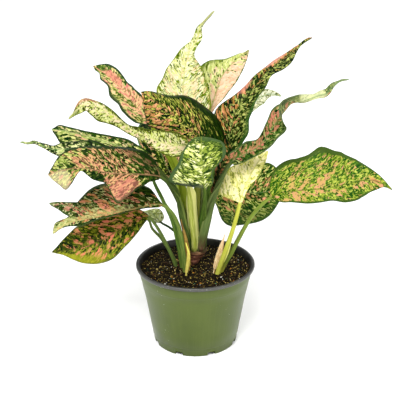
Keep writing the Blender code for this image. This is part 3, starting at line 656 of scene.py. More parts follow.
LEAVES = {
    "leaf_upper_left": Leaf(
        ring_foot(OUTER_RING, 145), ((-15, 25, 170), (-29, 44, 230)),
        ((-59, 52, 290), (-79, 60, 313), (-97, 68, 333), (-114, 75, 349), (-136, 86, 361)),
        face=((0.5, -0.7, 0.5),), left=(1, 10, 18, 22, 26, 22, 22, 15, 15, 5, 4, 1),
        right=(1, 3, 7, 15, 17, 13, 13, 16, 15, 12, 7, 2), rise=(5, 10), bend=(10, 20), wave=(3, 2.5, 0.1),
        wing=10.5),
    "leaf_big_centre": Leaf(
        ring_foot(INNER_RING, 265), ((12, 4, 194), (23, 0, 242)),
        ((23, -2, 262), (13, -10, 285), (-6, -22, 309), (-35, -36, 338), (-64, -52, 364)),
        face=((0.2, -0.8, 0.6),), left=(8, 14, 17, 21, 24, 25, 25, 27, 30, 19, 8, 2),
        right=(20, 36, 45, 49, 48, 44, 38, 25, 17, 12, 7, 2), rise=(-10, -5), bend=(-20, -30),
        wave=(2, 2, 0.3), thick=(2.6, 2.0), wing=5.0),
    "leaf_cream_left": Leaf(
        ring_foot(OUTER_RING, 250), ((-6, -10, 193), (-9, -24, 240)),
        ((-10, -34, 288), (-23, -41, 292), (-43, -50, 300), (-60, -58, 311), (-78, -67, 323),
         (-91, -75, 338), (-104, -81, 349), (-116, -86, 357), (-127, -89, 360), (-135, -90, 355),
         (-147, -90, 342)),
        face=((0.1, -0.8, 0.6),), left=(10, 8, 12, 15, 15, 13, 9, 9, 8, 8, 10, 13, 16, 13, 9, 7, 4, 2, 1),
        right=(9, 9, 15, 16, 16, 15, 13, 9, 7, 3, 2, 4, 6, 6, 7, 4, 1, 1, 1), rise=(5, 20), bend=(0, 10),
        wing=9.5),
    "leaf_back_left": Leaf(
        ring_foot(OUTER_RING, 180), ((-15, 12, 176), (-38, 18, 224)),
        ((-63, 22, 253), (-85, 24, 264), (-112, 26, 273), (-138, 29, 280), (-164, 32, 286),
         (-188, 36, 289)),
        face=((0.1, -0.75, 0.65),), left=(5, 9, 12, 16, 19, 21, 22, 24, 22, 11, 4),
        right=(6, 8, 10, 13, 11, 8, 7, 7, 7, 7, 2), rise=(10, 10), bend=(10, 10), wave=(2, 2, 0.2),
        wing=6.5),
    "leaf_long_tail": Leaf(
        soil_foot(-17.5, -1), ((-29.5, -6, 174), (-42, -12, 208), (-53, -18, 237)),
        ((-59, -22, 264), (-88, -25, 273), (-119, -26, 281), (-144, -25, 282), (-167, -24, 282),
         (-179, -23, 281), (-190, -21, 285), (-200, -18, 289), (-211, -16, 287), (-221, -14, 288)),
        face=((0.05, -0.6, 0.8),), left=(7, 9, 10, 11, 11, 13, 18, 22, 19, 17, 18, 15, 6, 2, 3, 2, 2, 1, 1),
        right=(5, 7, 6, 7, 8, 9, 9, 9, 12, 14, 14, 11, 5, 4, 2, 4, 2, 2, 1), wave=(3, 3, 0),
        thick=(2.4, 1.8), wing=4.0),
    "leaf_front_left": Leaf(
        ring_foot(OUTER_RING, 215),
        ((-16, -5, 170), (-20.5, -9, 197), (-22.7, -16, 215), (-28, -28, 232), (-36, -38, 244)),
        ((-44, -48, 254), (-67, -66, 264), (-102, -80, 271), (-134, -90, 281), (-153, -96, 281),
         (-173, -102, 277)),
        face=((0.0, -0.9, 0.5),),
        left=(4, 4, 5, 6, 8, 9, 13, 17, 21, 27, 33, 39, 16, 13, 12, 8, 4, 11, 19, 24, 25, 17, 11, 6, 2),
        right=(2, 10, 16, 21, 25, 28, 31, 33, 34, 35, 35, 34, 33, 32, 30, 29, 27, 26, 23, 19, 14, 9, 6, 3,
               1), rise=(10, -5), bend=(10, -10), wave=(3, 2.5, 0), wing=6.0),
    "leaf_middle_left": Leaf(
        soil_foot(-13, -15), ((-17, -16, 144), (-21.5, -22, 175), (-30, -32, 199)),
        ((-42, -38, 212), (-57, -43, 213), (-76, -50, 212), (-96, -57, 210), (-118, -64, 208),
         (-138, -69, 205), (-157, -73, 202), (-176, -78, 190)),
        face=((0.0, -0.8, 0.6),), left=(1, 4, 4, 3, 2, 2, 2, 4, 5, 4, 6, 8, 6, 3, 1, 1, 1),
        right=(2, 8, 23, 29, 35, 40, 43, 44, 43, 39, 31, 23, 9, 9, 10, 6, 2), rise=(20, -5), bend=(0, -10),
        wing=2.5),
    "leaf_behind_left": Leaf(
        soil_foot(-26, 12), ((-44.5, 9, 142), (-57.5, 5, 160)),
        ((-63, 4, 174), (-101, 13, 178), (-142, 25, 181), (-170, 34, 180), (-184, 40, 180),
         (-199, 42, 181)),
        face=((0.0, -0.8, 0.6),), left=(6, 8, 10, 14, 18, 17, 13, 7, 3),
        right=(6, 7, 10, 10, 9, 7, 6, 4, 2), rise=(0, 10), thick=(2.7, 1.6)),
    "leaf_lowest_left": Leaf(
        soil_foot(-26, 4), ((-42, -2, 148), (-54.5, -11, 176)),
        ((-62, -16, 186), (-84, -27, 181), (-116, -42, 167), (-147, -52, 158), (-182, -60, 156)),
        face=((0.0, -0.8, 0.6),), left=(4, 7, 11, 16, 20, 24, 29, 27, 21, 13, 6, 3, 1),
        right=(4, 12, 14, 17, 22, 27, 28, 28, 28, 22, 14, 6, 2), bend=(-10, 0), thick=(2.8, 1.8)),
    "leaf_small_back": Leaf(
        soil_foot(-19, 8), ((-23, 12, 146), (-35, 16, 157)),
        ((-47, 26, 160), (-55, 38, 164), (-66, 60, 162), (-78, 88, 148)),
        face=((0.25, -0.6, 0.75),), left=(7, 10, 12, 12, 10, 6, 3, 1), rise=(10, 10), wave=(1, 1, 0),
        thick=(1.8, 1.4)),
    "leaf_centre_front": Leaf(
        ring_foot(INNER_RING, 345), ((11.5, -2, 168), (12.5, -24, 206)),
        ((12, -44, 238), (10, -54, 262), (8, -56, 288), (8, -38, 302), (8, -26, 297)),
        face=((0, 1, 0), (0, 1, -0.2), (0, 0.3, -1)),
        left=(6, 10, 12, 12, 11, 14, 22, 29, 31, 31, 29, 25, 21, 15, 9),
        right=(30, 41, 45, 45, 42, 38, 32, 28, 25, 20, 15, 10, 10, 9, 5), bend=(20, 20), wave=(1.5, 1, 0),
        thick=(2.6, 2.0), wing=2.6),
    "leaf_top_cream": Leaf(
        ring_foot(INNER_RING, 175), ((1, 32, 204), (-8, 46, 256)),
        ((-14, 50, 297), (-16, 52, 335), (-14, 52, 362), (-9, 50, 384), (3, 46, 407), (6, 41, 423),
         (14, 38, 433), (24, 34, 444)),
        face=((0.1, -0.95, 0.3),),
        left=(10, 17, 22, 27, 31, 34, 35, 28, 24, 17, 12, 7, 6, 4, 1, 1, 1, 1, 1),
        right=(10, 20, 30, 37, 38, 37, 35, 31, 27, 21, 8, 5, 6, 4, 3, 2, 2, 1, 1), rise=(5, 5),
        bend=(5, 30), wave=(1, 2, 0), thick=(2.6, 2.0), wing=9.0),
    "leaf_top_peach": Leaf(
        ring_foot(INNER_RING, 90), ((10, 40, 201), (17, 64, 264)),
        ((20, 74, 299), (28, 82, 326), (36, 90, 346), (51, 98, 363), (72, 106, 378)),
        face=((-0.1, -0.95, 0.3),), left=(11, 13, 17, 23, 28, 33, 27, 13, 7, 4, 1, 1),
        right=(2, 4, 7, 12, 16, 20, 21, 19, 16, 11, 6, 2), rise=(5, 5), bend=(5, 5), wave=(1, 2, 0),
        thick=(2.6, 2.0), wing=7.0),
    "leaf_upper_right": Leaf(
        ring_foot(OUTER_RING, 17), ((14, 14, 147), (20, 15, 176)),
        ((24, 16, 207), (31, 16, 232), (43, 18, 265), (47, 23, 292), (55, 29, 320), (71, 34, 339),
         (84, 38, 356), (102, 44, 372), (120, 50, 384), (135, 55, 396), (151, 60, 405)),
        face=((-0.5, -0.75, 0.4), (-0.7, -0.5, 0.5)),
        left=(8, 8, 9, 11, 13, 17, 21, 23, 26, 27, 14, 12, 11, 9, 8, 6, 4, 2, 3, 3, 2),
        right=(4, 9, 10, 10, 10, 10, 12, 20, 28, 25, 26, 18, 20, 12, 17, 15, 7, 2, 1, 1, 1), rise=(10, 5),
        bend=(10, 0), wing=7.0),
    "leaf_small_right": Leaf(
        ring_foot(INNER_RING, 5), ((9, 15, 158), (25, 48, 212), (50, 84, 258)),
        ((73, 104, 289), (85, 114, 306), (101, 122, 312), (120, 130, 307)),
        face=((-0.3, -0.8, 0.5),), left=(3, 4, 5, 5, 9, 6, 4, 2), right=(2, 5, 9, 11, 7, 3, 1, 1),
        wave=(1, 1, 0), thick=(2.4, 1.6)),
    "leaf_right": Leaf(
        ring_foot(OUTER_RING, 302), ((14, -9, 168), (23, -8, 206), (33, -9, 235)),
        ((46, -13, 260), (62, -17, 272), (77, -20, 281), (89, -23, 296), (98, -26, 312), (105, -27, 326),
         (112, -29, 337), (118, -30, 344), (132, -31, 347), (150, -33, 354), (161, -34, 358),
         (168, -34, 367), (177, -35, 373), (186, -36, 375)),
        face=((-0.3, -0.8, 0.5), (-0.4, -0.75, 0.5), (-0.5, -0.7, 0.5), (-0.1, 0.3, 0.7), (0.2, 0.9, 0.1),
              (0.2, 0.9, 0.2)),
        left=(9, 10, 11, 11, 12, 15, 13, 9, 10, 11, 12, 16, 20, 13, 5, 3, 5, 3, 2, 1, 1, 1, 1),
        right=(5, 6, 8, 9, 10, 10, 10, 12, 14, 15, 20, 22, 19, 17, 9, 4, 6, 5, 4, 2, 2, 1, 1),
        rise=(10, 10), thick=(4.6, 2.6), wing=5.6),
    "leaf_yellow": Leaf(
        soil_foot(29.5, -19), ((39.5, -20, 138), (48, -21, 166), (55, -22, 194)),
        ((58, -19, 207), (65, -12, 226), (75, -4, 246), (86, 5, 260), (94, 10, 268)),
        face=((0.25, 0.95, 0),), left=(1, 2, 3, 4, 6, 9, 9, 8, 7, 4, 2),
        right=(26, 36, 37, 35, 32, 28, 17, 11, 6, 3, 1), rise=(0, 8), bend=(0, 12), wave=(1.5, 2, 0),
        thick=(3.6, 2.4)),
    "leaf_large_right": Leaf(
        soil_foot(33.5, -11), ((49, -8.5, 133), (63, -8, 163), (74, -12, 185), (87, -18, 205)),
        ((98, -22, 216), (110, -28, 224), (136, -38, 232), (163, -47, 238), (190, -54, 247),
         (203, -57, 252), (216, -60, 254), (229, -62, 251), (243, -64, 243)),
        face=((0.0, -0.85, 0.5),), left=(7, 16, 29, 38, 42, 42, 45, 54, 53, 45, 38, 24, 14, 8, 4, 2, 1),
        right=(4, 6, 10, 13, 14, 16, 18, 18, 17, 22, 23, 21, 16, 10, 3, 1, 1), rise=(-5, 0), bend=(5, 10),
        wave=(3, 3, 0), thick=(3.6, 2.2)),
    "leaf_dark_oval": Leaf(
        ring_foot(OUTER_RING, 60), ((12, 22, 160), (16, 27, 183)),
        ((19, 30, 196), (46, 41, 198), (86, 56, 191), (122, 68, 193)),
        face=((-0.1, -0.95, 0.25),), left=(7, 15, 24, 31, 38, 41, 41, 40, 39, 32, 20),
        right=(14, 26, 38, 46, 48, 45, 41, 35, 25, 15, 8), wing=4.0),
    "leaf_back": Leaf(
        ring_foot(OUTER_RING, 108), ((-9, 38, 168), (-20, 50, 194)),
        ((-30, 54, 211), (-41, 64, 231), (-51, 81, 250), (-55, 105, 265), (-47, 132, 274)),
        face=((0.3, -0.6, 0.7),), left=(9, 17, 23, 27, 28, 24, 14, 5),
        right=(14, 22, 26, 28, 28, 24, 14, 5), wing=4.0),
}
print(len(LEAVES), "leaves")

SHEATHS = {
    "sheath_dry_left": Leaf(
        soil_foot(-8.5, -13), ((-8, -13, 108),),
        ((-8.5, -13, 112), (-12, -15, 140), (-15.5, -15.5, 165), (-18.5, -15.5, 182)),
        face=((0.2, 1, 0),), left=(2.9, 3.7, 4.3, 4.5, 3.8, 2.4, 0.9, 0.1), bend=(60, 60), wave=(0.4, 3, 0),
        thick=(1.6, 1.0)),
    "sheath_young_left": Leaf(
        soil_foot(-12, -24), ((-12, -24, 106),),
        ((-12, -24, 108), (-10, -24, 122), (-9, -24, 137), (-12, -23, 152)),
        face=((0.2, 1, 0),), left=(1.9, 2.3, 2.6, 2.7, 2.4, 1.5, 0.6, 0.1), bend=(60, 60), wave=(0.2, 1, 0),
        thick=(1.6, 1.2)),
    "sheath_papery_right": Leaf(
        soil_foot(24, -16), ((25, -16, 106),),
        ((25.5, -16, 110), (30, -14, 126), (34.5, -12, 142), (39, -10, 158)),
        face=((0.3, 1, 0),), left=(2.9, 3.7, 4.3, 4.5, 3.8, 2.4, 0.9, 0.1), bend=(60, 60),
        wave=(0.4, 2, 0.3), thick=(1.6, 1.0)),
    "sheath_pale_right": Leaf(
        soil_foot(31, -15), ((32, -15, 106),),
        ((31, -15, 110), (38, -15, 126), (44, -14.5, 140), (48, -14, 152)),
        face=((0.3, 1, 0),), left=(2.0, 2.6, 3.1, 3.2, 2.7, 1.7, 0.6, 0.1), bend=(40, 40), wave=(0.2, 1, 0),
        thick=(1.3, 0.9)),
}
print(len(SHEATHS), "sheaths")

# %% [markdown]
# Each leaf follows one smooth curve through its stalk and midrib, and each half of its blade has
# its own row of widths. One leaf could be drawn with a curve tool. Small functions do it for twenty
# and read the same tables each time.

# %% Curves and widths


def smooth_route(points, count):
    """Points along a smooth curve through the given ones, evenly spaced, with their distances.

    Between two points it is a Hermite cubic, whose slopes come from the points beside them."""
    p = np.asarray(points, float)
    h = np.sqrt(np.linalg.norm(np.diff(p, axis=0), axis=1))[:, None]
    slope = np.diff(p, axis=0) / h
    middle = (slope[:-1] * h[1:] + slope[1:] * h[:-1]) / (h[:-1] + h[1:])
    tangent = np.vstack([slope[:1], middle, slope[-1:]])
    t = np.linspace(0, 1, 41)[1:, None]
    pieces = [p[:1]]
    for i in range(len(h)):
        pieces.append((2 * t ** 3 - 3 * t ** 2 + 1) * p[i] + (t ** 3 - 2 * t ** 2 + t) * h[i] * tangent[i]
                      + (3 * t ** 2 - 2 * t ** 3) * p[i + 1] + (t ** 3 - t ** 2) * h[i] * tangent[i + 1])
    fine = np.vstack(pieces)
    run = np.concatenate([[0], np.cumsum(np.linalg.norm(np.diff(fine, axis=0), axis=1))])
    even = np.linspace(0, run[-1], count)
    return np.stack([np.interp(even, run, fine[:, k]) for k in range(3)], axis=1), even


def along(values, s):
    """Values spread evenly from a blade's base to its tip, read smoothly at s."""
    v = np.asarray(values, float)
    if len(v) == 1:
        return np.repeat(v, len(s), axis=0)
    place = s * (len(v) - 1)
    k = np.clip(place.astype(int), 0, len(v) - 2)
    f = place - k
    f = (f * f * (3 - 2 * f)).reshape(-1, *[1] * (v.ndim - 1))
    return v[k] * (1 - f) + v[k + 1] * f


def unit(vectors):
    return vectors / np.linalg.norm(vectors, axis=-1, keepdims=True)


def ease(s, start, end):
    """0 at start, 1 at end, and smooth between."""
    f = np.clip((s - start) / (end - start), 0, 1)
    return f * f * (3 - 2 * f)


def half_width(widths, s):
    """A half's width in mm at s. Its numbers stand closer near base and tip, so that ends come out round."""
    table = np.array([-widths[0], 0.0, *widths, 0.0, -widths[-1]])
    last = len(widths) + 1
    place = np.arccos(1 - 2 * s) / math.pi * last
    k = np.clip(place.astype(int), 0, last - 1)
    f = place - k
    a, b, c, d = table[k], table[k + 1], table[k + 2], table[k + 3]
    return np.clip(b + f / 2 * (c - a + f * (2 * a - 5 * b + 4 * c - d + f * (3 * (b - c) + d - a))), 0, None)


print("a half 10, 30 and 10 mm wide, read at its middle:", half_width((10, 30, 10), np.array([0.5])))

# %% [markdown]
# A row of points stands square to the curve at each station. On the blade, the row's upper side
# looks the way that the table says. A winged stalk turns its upper side to the middle of the plant,
# because the stalks of an aglaonema are grooved on the inside and clasp each other at the foot.

# %% Where a leaf's rows stand
STALK_ROWS = 24
BLADE_ROWS = 64
CROWN_STRAIGHT = 7.0
ROUTE_POINTS = 3000
print("rows on a leaf:", STALK_ROWS + BLADE_ROWS)


def leaf_rows(leaf):
    """Where the rows stand: s runs from -1 at the foot, by 0 at the blade's base, to 1 at the tip."""
    in_soil = leaf.foot[2] < SOIL_TOP
    straight = (*leaf.foot[:2], STRAIGHT_TOP if in_soil else leaf.foot[2] + CROWN_STRAIGHT)
    route, run = smooth_route([leaf.foot, straight, *leaf.stalk, *leaf.rib], ROUTE_POINTS)
    base = run[np.argmin(np.linalg.norm(route - np.asarray(leaf.rib[0], float), axis=1))]
    s = np.concatenate([np.linspace(-1, 0, STALK_ROWS, endpoint=False), np.linspace(0, 1, BLADE_ROWS)])
    at = np.where(s < 0, base * (1 + s), base + (run[-1] - base) * s)

    def read(where):
        return np.stack([np.interp(where, run, route[:, k]) for k in range(3)], axis=1)

    return s, read(at), unit(read(at + 1.0) - read(at - 1.0)), at - base


def upper_side(leaf, s, forward):
    """Which way the upper side looks. On a winged stalk it turns towards the crown's axis."""
    face = along(leaf.face, np.clip(s, 0, 1))
    normal = unit(face - (face * forward).sum(1, keepdims=True) * forward)
    if leaf.wing:
        axis = np.array([CROWN[0] - leaf.foot[0], CROWN[1] - leaf.foot[1], 0.0])
        side = np.cross(forward, normal)
        angle = np.arctan2(side @ axis, normal @ axis)[0] * (1 - ease(s, -0.6, -0.05))
        normal = normal * np.cos(angle)[:, None] + side * np.sin(angle)[:, None]
    return normal


# %% [markdown]
# Each half of a blade is lifted, curled along an arc and rippled, most at its margin. Between the
# side veins the real blade bulges a little, so the veins are pressed in by a fraction of a
# millimetre. They could be a bump in the finish alone, but then the light wouldn't break on them at
# the blade's edge.

# %% One half of a blade
HALF_COLUMNS = 10
RIB_COLUMN = 4.0
INNER_COLUMNS, INNER_SHARE = 0.3, (0.12, 0.38)
LEFT_WAVE_SHIFT = 1.9
FRILL_SHARE, FRILL_PACE, FRILL_SHIFT = 0.14, 3.3, 2.6
# A side vein that is d mm from the midrib has run VEIN_SLANT * d + VEIN_CURVE * d * d mm forward.
VEIN_SPACING, VEIN_SLANT, VEIN_CURVE, VEIN_DEPTH = 8.5, 0.75, 0.010, 0.22
WING_CUP = 80.0
print("points across a blade:", 2 * HALF_COLUMNS + 1)


def half_columns(leaf, hand, s, run, wing, least):
    """The columns of one half from the midrib out, hand -1 for the left one and 1 for the right.

    Each gives its share q of the half's width, its distance from the midrib, and how far out and up
    it lies, row by row."""
    t = np.clip(s, 0, 1)
    on_stalk = s < 0
    widths, rise, bend, shift = ((leaf.left, leaf.rise[0], leaf.bend[0], LEFT_WAVE_SHIFT) if hand < 0
                                 else (leaf.right, leaf.rise[1], leaf.bend[1], 0.0))
    height, count, phase = leaf.wave
    swell = height * np.sin(math.pi * t ** 0.8) ** 0.7
    width = np.hypot(half_width(widths, t), least)
    inner = np.clip(RIB_COLUMN / width, *INNER_SHARE)
    lift = np.where(on_stalk, 0.0, math.radians(rise))
    cup = math.radians(WING_CUP) * wing / max(leaf.wing, 1.0)
    turn = np.where(on_stalk, cup, math.radians(bend)) + 1e-6
    ripple = swell * np.sin(2 * math.pi * (count * t + phase) + shift)
    frill = FRILL_SHARE * swell * np.sin(2 * math.pi * (FRILL_PACE * count * t + phase) + FRILL_SHIFT * shift)
    for step in range(HALF_COLUMNS + 1):
        even = step / HALF_COLUMNS
        q = np.where(even < INNER_COLUMNS, even / INNER_COLUMNS * inner,
                     inner + (even - INNER_COLUMNS) / (1 - INNER_COLUMNS) * (1 - inner))
        out = width * (np.sin(lift + turn * q) - np.sin(lift)) / turn
        distance = width * q
        vein = (run - VEIN_SLANT * distance - VEIN_CURVE * distance ** 2) / VEIN_SPACING
        pressed = VEIN_DEPTH * np.clip(distance / 5 - 0.4, 0, 1) * np.clip(4 * (1 - q), 0, 1)
        quilt = pressed * np.where(on_stalk, 0, np.abs(np.sin(math.pi * (vein + 0.25 * hand))) ** 0.6)
        up = width * (np.cos(lift) - np.cos(lift + turn * q)) / turn + ripple * q * q + frill * q ** 4
        yield q, distance, out, up + quilt


# %% [markdown]
# The skin is thin, and the stalk runs on under the blade as its midrib. A Solidify modifier would
# give one thickness everywhere. Here each point has its own: thin at the margin, and round where
# the midrib lies, most of it below the blade, as on the plant.

# %% The skin of a leaf
BLADE_HALF = 0.38
RIM_HALF = 0.16
TIP_HALF_WIDTH = 0.5
RIB_SHARE = 0.9
RIB_END = 0.1
RIB_SPREAD = 1.12
ABOVE_SHARE = 0.35
WING_STARTS, WING_ENDS = (-1.02, -0.93), (-0.4, -0.06)


def stalk_and_rib(leaf, s):
    """By row: the radius of stalk or midrib, how far the wing reaches, and the least half-width."""
    t = np.clip(s, 0, 1)
    foot_radius, base_radius = leaf.thick
    stalk_radius = foot_radius + (base_radius - foot_radius) * np.clip(s + 1, 0, 1)
    wing = leaf.wing * ease(s, *WING_STARTS) * (1 - ease(s, *WING_ENDS)) if leaf.wing else 0 * s
    rib_radius = np.where(s < 0, stalk_radius, RIB_SHARE * base_radius * (1 - t) ** 0.8 + RIB_END)
    tapered = TIP_HALF_WIDTH + (base_radius - TIP_HALF_WIDTH) * (1 - t) ** 3
    return rib_radius, wing, np.where(s < 0, np.hypot(stalk_radius, wing), tapered)


def round_the_row(upper, lower):
    """Joins each row's upper side with its lower one on the way back, and closes the ring."""
    ring = np.concatenate([upper, lower[:, ::-1]], axis=1)
    return np.concatenate([ring, ring[:, :1]], axis=1)


def leaf_form(leaf):
    """The leaf's skin as rings of points, and each point's place on the leaf for its finish."""
    s, place, forward, run = leaf_rows(leaf)
    normal = upper_side(leaf, s, forward)
    side = np.cross(forward, normal)
    rib_radius, wing, least = stalk_and_rib(leaf, s)
    reach = np.maximum(rib_radius, 0.5)
    above = np.where(s < 0, np.clip(ABOVE_SHARE - 3 * s, ABOVE_SHARE, 1),
                     ABOVE_SHARE * np.clip(1 - 4 * np.clip(s, 0, 1), 0, 1))
    columns = 2 * HALF_COLUMNS + 1
    rows = np.zeros((len(s), columns, 3))
    thick = np.zeros((len(s), columns, 2))
    across, share = np.zeros((len(s), columns)), np.zeros((len(s), columns))
    for hand in (-1, 1):
        for step, (q, distance, out, up) in enumerate(half_columns(leaf, hand, s, run, wing, least)):
            column = HALF_COLUMNS + hand * step
            rows[:, column] = place + hand * out[:, None] * side + up[:, None] * normal
            round_stalk = np.sqrt(np.clip(1 - (distance / (1.02 * reach)) ** 2, 0, 1))
            spread_rib = np.exp(-(distance / (RIB_SPREAD * reach)) ** 2)
            ridge = rib_radius * np.where(s < 0, round_stalk, spread_rib)
            half = BLADE_HALF + (RIM_HALF - BLADE_HALF) * q ** 3
            thick[:, column, 0] = half + ridge * above
            thick[:, column, 1] = half + ridge
            across[:, column] = hand * distance
            share[:, column] = hand * q
    bent = unit(np.cross(np.gradient(rows, axis=1), np.gradient(rows, axis=0)))
    flat = (s > 0.02) | (wing > 0.5)
    normals = np.where(flat[:, None, None], bent, normal[:, None, :])
    skin = round_the_row(rows + normals * thick[:, :, :1], rows - normals * thick[:, :, 1:])
    nothing, whole = np.zeros_like(share), np.ones_like(share)
    lengths = round_the_row(*[whole * run[:, None]] * 2)
    stations = round_the_row(*[whole * s[:, None]] * 2)
    spot = np.stack([lengths, round_the_row(across, across), round_the_row(nothing, whole)], axis=-1)
    part = np.stack([stations, round_the_row(share, share), round_the_row(nothing, nothing)], axis=-1)
    return skin, spot, part


# %% [markdown]
# A grid has as many rows as the leaf has stations and as many columns as a ring has points, so
# rolling it needs no new faces: every point moves to its place, and the two long sides meet and are
# merged. A flat grid with separate rods for the stalks would show a joint. The places are also kept
# as two attributes, because the finish has to know where on the leaf it is.

# %% Rolling a grid into a leaf


def close_seam(piece):
    """Joins the grid's two long sides, and closes the ends at the foot and the tip."""
    only(piece)
    bpy.ops.object.mode_set(mode="EDIT")
    bpy.ops.mesh.select_all(action="SELECT")
    bpy.ops.mesh.remove_doubles(threshold=0.001 * MM)
    bpy.ops.mesh.select_all(action="DESELECT")
    bpy.ops.mesh.select_mode(type="EDGE")
    bpy.ops.mesh.select_non_manifold()
    bpy.ops.mesh.fill_holes(sides=0)
    bpy.ops.mesh.select_all(action="SELECT")
    bpy.ops.mesh.normals_make_consistent(inside=False)
    bpy.ops.object.mode_set(mode="OBJECT")


def build_leaf(name, leaf):
    skin, spot, part = leaf_form(leaf)
    count_rows, count_columns = skin.shape[:2]
    deselect()
    bpy.ops.mesh.primitive_grid_add(x_subdivisions=count_columns - 1, y_subdivisions=count_rows - 1, size=1.0)
    piece = named(name)
    flat = np.zeros(len(piece.data.vertices) * 3)
    piece.data.vertices.foreach_get("co", flat)
    flat = flat.reshape(-1, 3)
    column = np.rint((flat[:, 0] + 0.5) * (count_columns - 1)).astype(int)
    row = np.rint((flat[:, 1] + 0.5) * (count_rows - 1)).astype(int)
    piece.data.vertices.foreach_set("co", (skin[row, column] * MM).ravel())
    for label, values in (("spot", spot), ("part", part)):
        attribute = piece.data.attributes.new(label, "FLOAT_VECTOR", "POINT")
        attribute.data.foreach_set("vector", values[row, column].ravel().astype(np.float32))
    close_seam(piece)
    return settle(piece)


# %% [markdown]
# Aglaonema leaves are marked where cells lack green: small flecks of lime or cream, larger ragged
# patches of coral or peach, and green specks inside those. Each leaf has its own shares of them.
# They could be painted on an image. Here each leaf has a row of numbers instead: how much of each
# mark, how that changes from base to tip, from midrib to margin and from left to right, and dabs
# and washes that add something at one place. Two washes are painted shade, dark at the base of a
# blade that lies in shadow.

# %% What a leaf's marks are


class Marks:
    """One leaf's colours, and how much of each mark it has.

    Colours are red, green and blue as an eye names them, 0 to 255, and greens, fleck and patch are
    pairs of them. flecks and patches are (share, more at the tip, more at the margin, more on the
    right). A dab is (s, q, reach along, reach across, more flecks, more patches), and a wash is
    (s, q, reach along, reach across, share, colour). cell and blotch are the sizes in mm of flecks
    and patches, along and across. The stalk starts in the foot's colour, and wing streaks it and
    colours its flat sides."""

    def __init__(self, greens, fleck, patch, flecks=(0.3, 0, 0, 0), patches=(0.2, 0, 0, 0), specks=0.3,
                 speck=None, cell=(1.8, 2.2), blotch=(4.6, 5.6), slant=VEIN_SLANT, seed=0.0, margin=0.92,
                 edge=(89, 124, 69), rib=(89, 124, 69), stalk=(97, 124, 63), wing=(149, 173, 89), foot=None,
                 under=0.3, pale=(159, 178, 134), dabs=(), washes=()):
        self.greens, self.fleck, self.patch = ([rgb(*c) for c in pair] for pair in (greens, fleck, patch))
        self.flecks, self.patches, self.specks = flecks, patches, specks
        self.cell, self.blotch, self.slant, self.seed = cell, blotch, slant, seed
        self.margin, self.under, self.dabs = margin, under, dabs
        self.speck, self.edge, self.rib, self.pale = (rgb(*c) for c in (speck or greens[1], edge, rib, pale))
        self.stalk, self.wing, self.foot = (rgb(*c) for c in (stalk, wing, foot or stalk))
        self.washes = [(*wash, rgb(*tint)) for *wash, tint in washes]


def oval(s, q, middle_s, middle_q, reach_s, reach_q):
    """0 in the middle of an oval on the blade, and 1 on its outline."""
    return ((s - middle_s) / reach_s) ** 2 + ((q - middle_q) / reach_q) ** 2


def cover(amounts, s, q, dabs):
    """How much of a mark there is here, as a share."""
    share, tip, margin, right = amounts
    total = s * tip + (share - 0.5 * tip)
    if margin:
        total = total + q.abs() * margin - 0.5 * margin
    if right:
        total = total + q * right
    for *place, change in dabs:
        total = total + (1 - oval(s, q, *place).above(0.1, 1.0)) * change
    return total


# %% [markdown]
# The marks lie along the side veins, which leave the midrib at a slant and curve forward. So the
# finish first finds a vein coordinate, which is the same all along one side vein. Voronoi cells
# over that coordinate give each small field of the leaf its own random numbers, and a field is
# marked where its number lies under the share. Noise sways the veins and tears the fields' edges.

# %% The leaf finish
SWAY, SMALL_SWAY, RAG = 7.0, 3.4, 3.4
HALVES_APART = 37.0
FIELD_EDGE = (-0.06, 0.06)


def vein_place(finish, marks, length, across):
    """The distance from the midrib, a number for the half, the vein coordinate, and its raggedness."""
    distance = across.abs()
    hand = across.above(-0.01, 0.01) * HALVES_APART + marks.seed
    sway = finish.noise(finish.vector(length, across, marks.seed), scale=0.09, detail=2.0) * SWAY
    sway = sway + finish.noise(finish.vector(length, across, hand), scale=0.24, detail=1.0) * SMALL_SWAY
    ragged = finish.noise(finish.vector(length, across, hand), scale=0.6, detail=4.0, roughness=0.65) * RAG
    vein = length - distance * marks.slant - distance * distance * VEIN_CURVE + sway
    return distance, hand, vein, ragged


def stalk_colour(finish, marks, s, length, across, under):
    """The stalk runs from the foot's colour to its own, with long pale streaks."""
    streak = finish.noise(finish.vector(across * 1.1, length / 16.0, under * 3.0), detail=3.0)
    rod = finish.mix(s.above(-0.97, -0.72), marks.foot, marks.stalk)
    rod = finish.mix(streak.above(0.4, 0.7) * 0.6, rod, marks.wing)
    return finish.mix(across.abs().above(3.4, 4.4), rod, marks.wing)


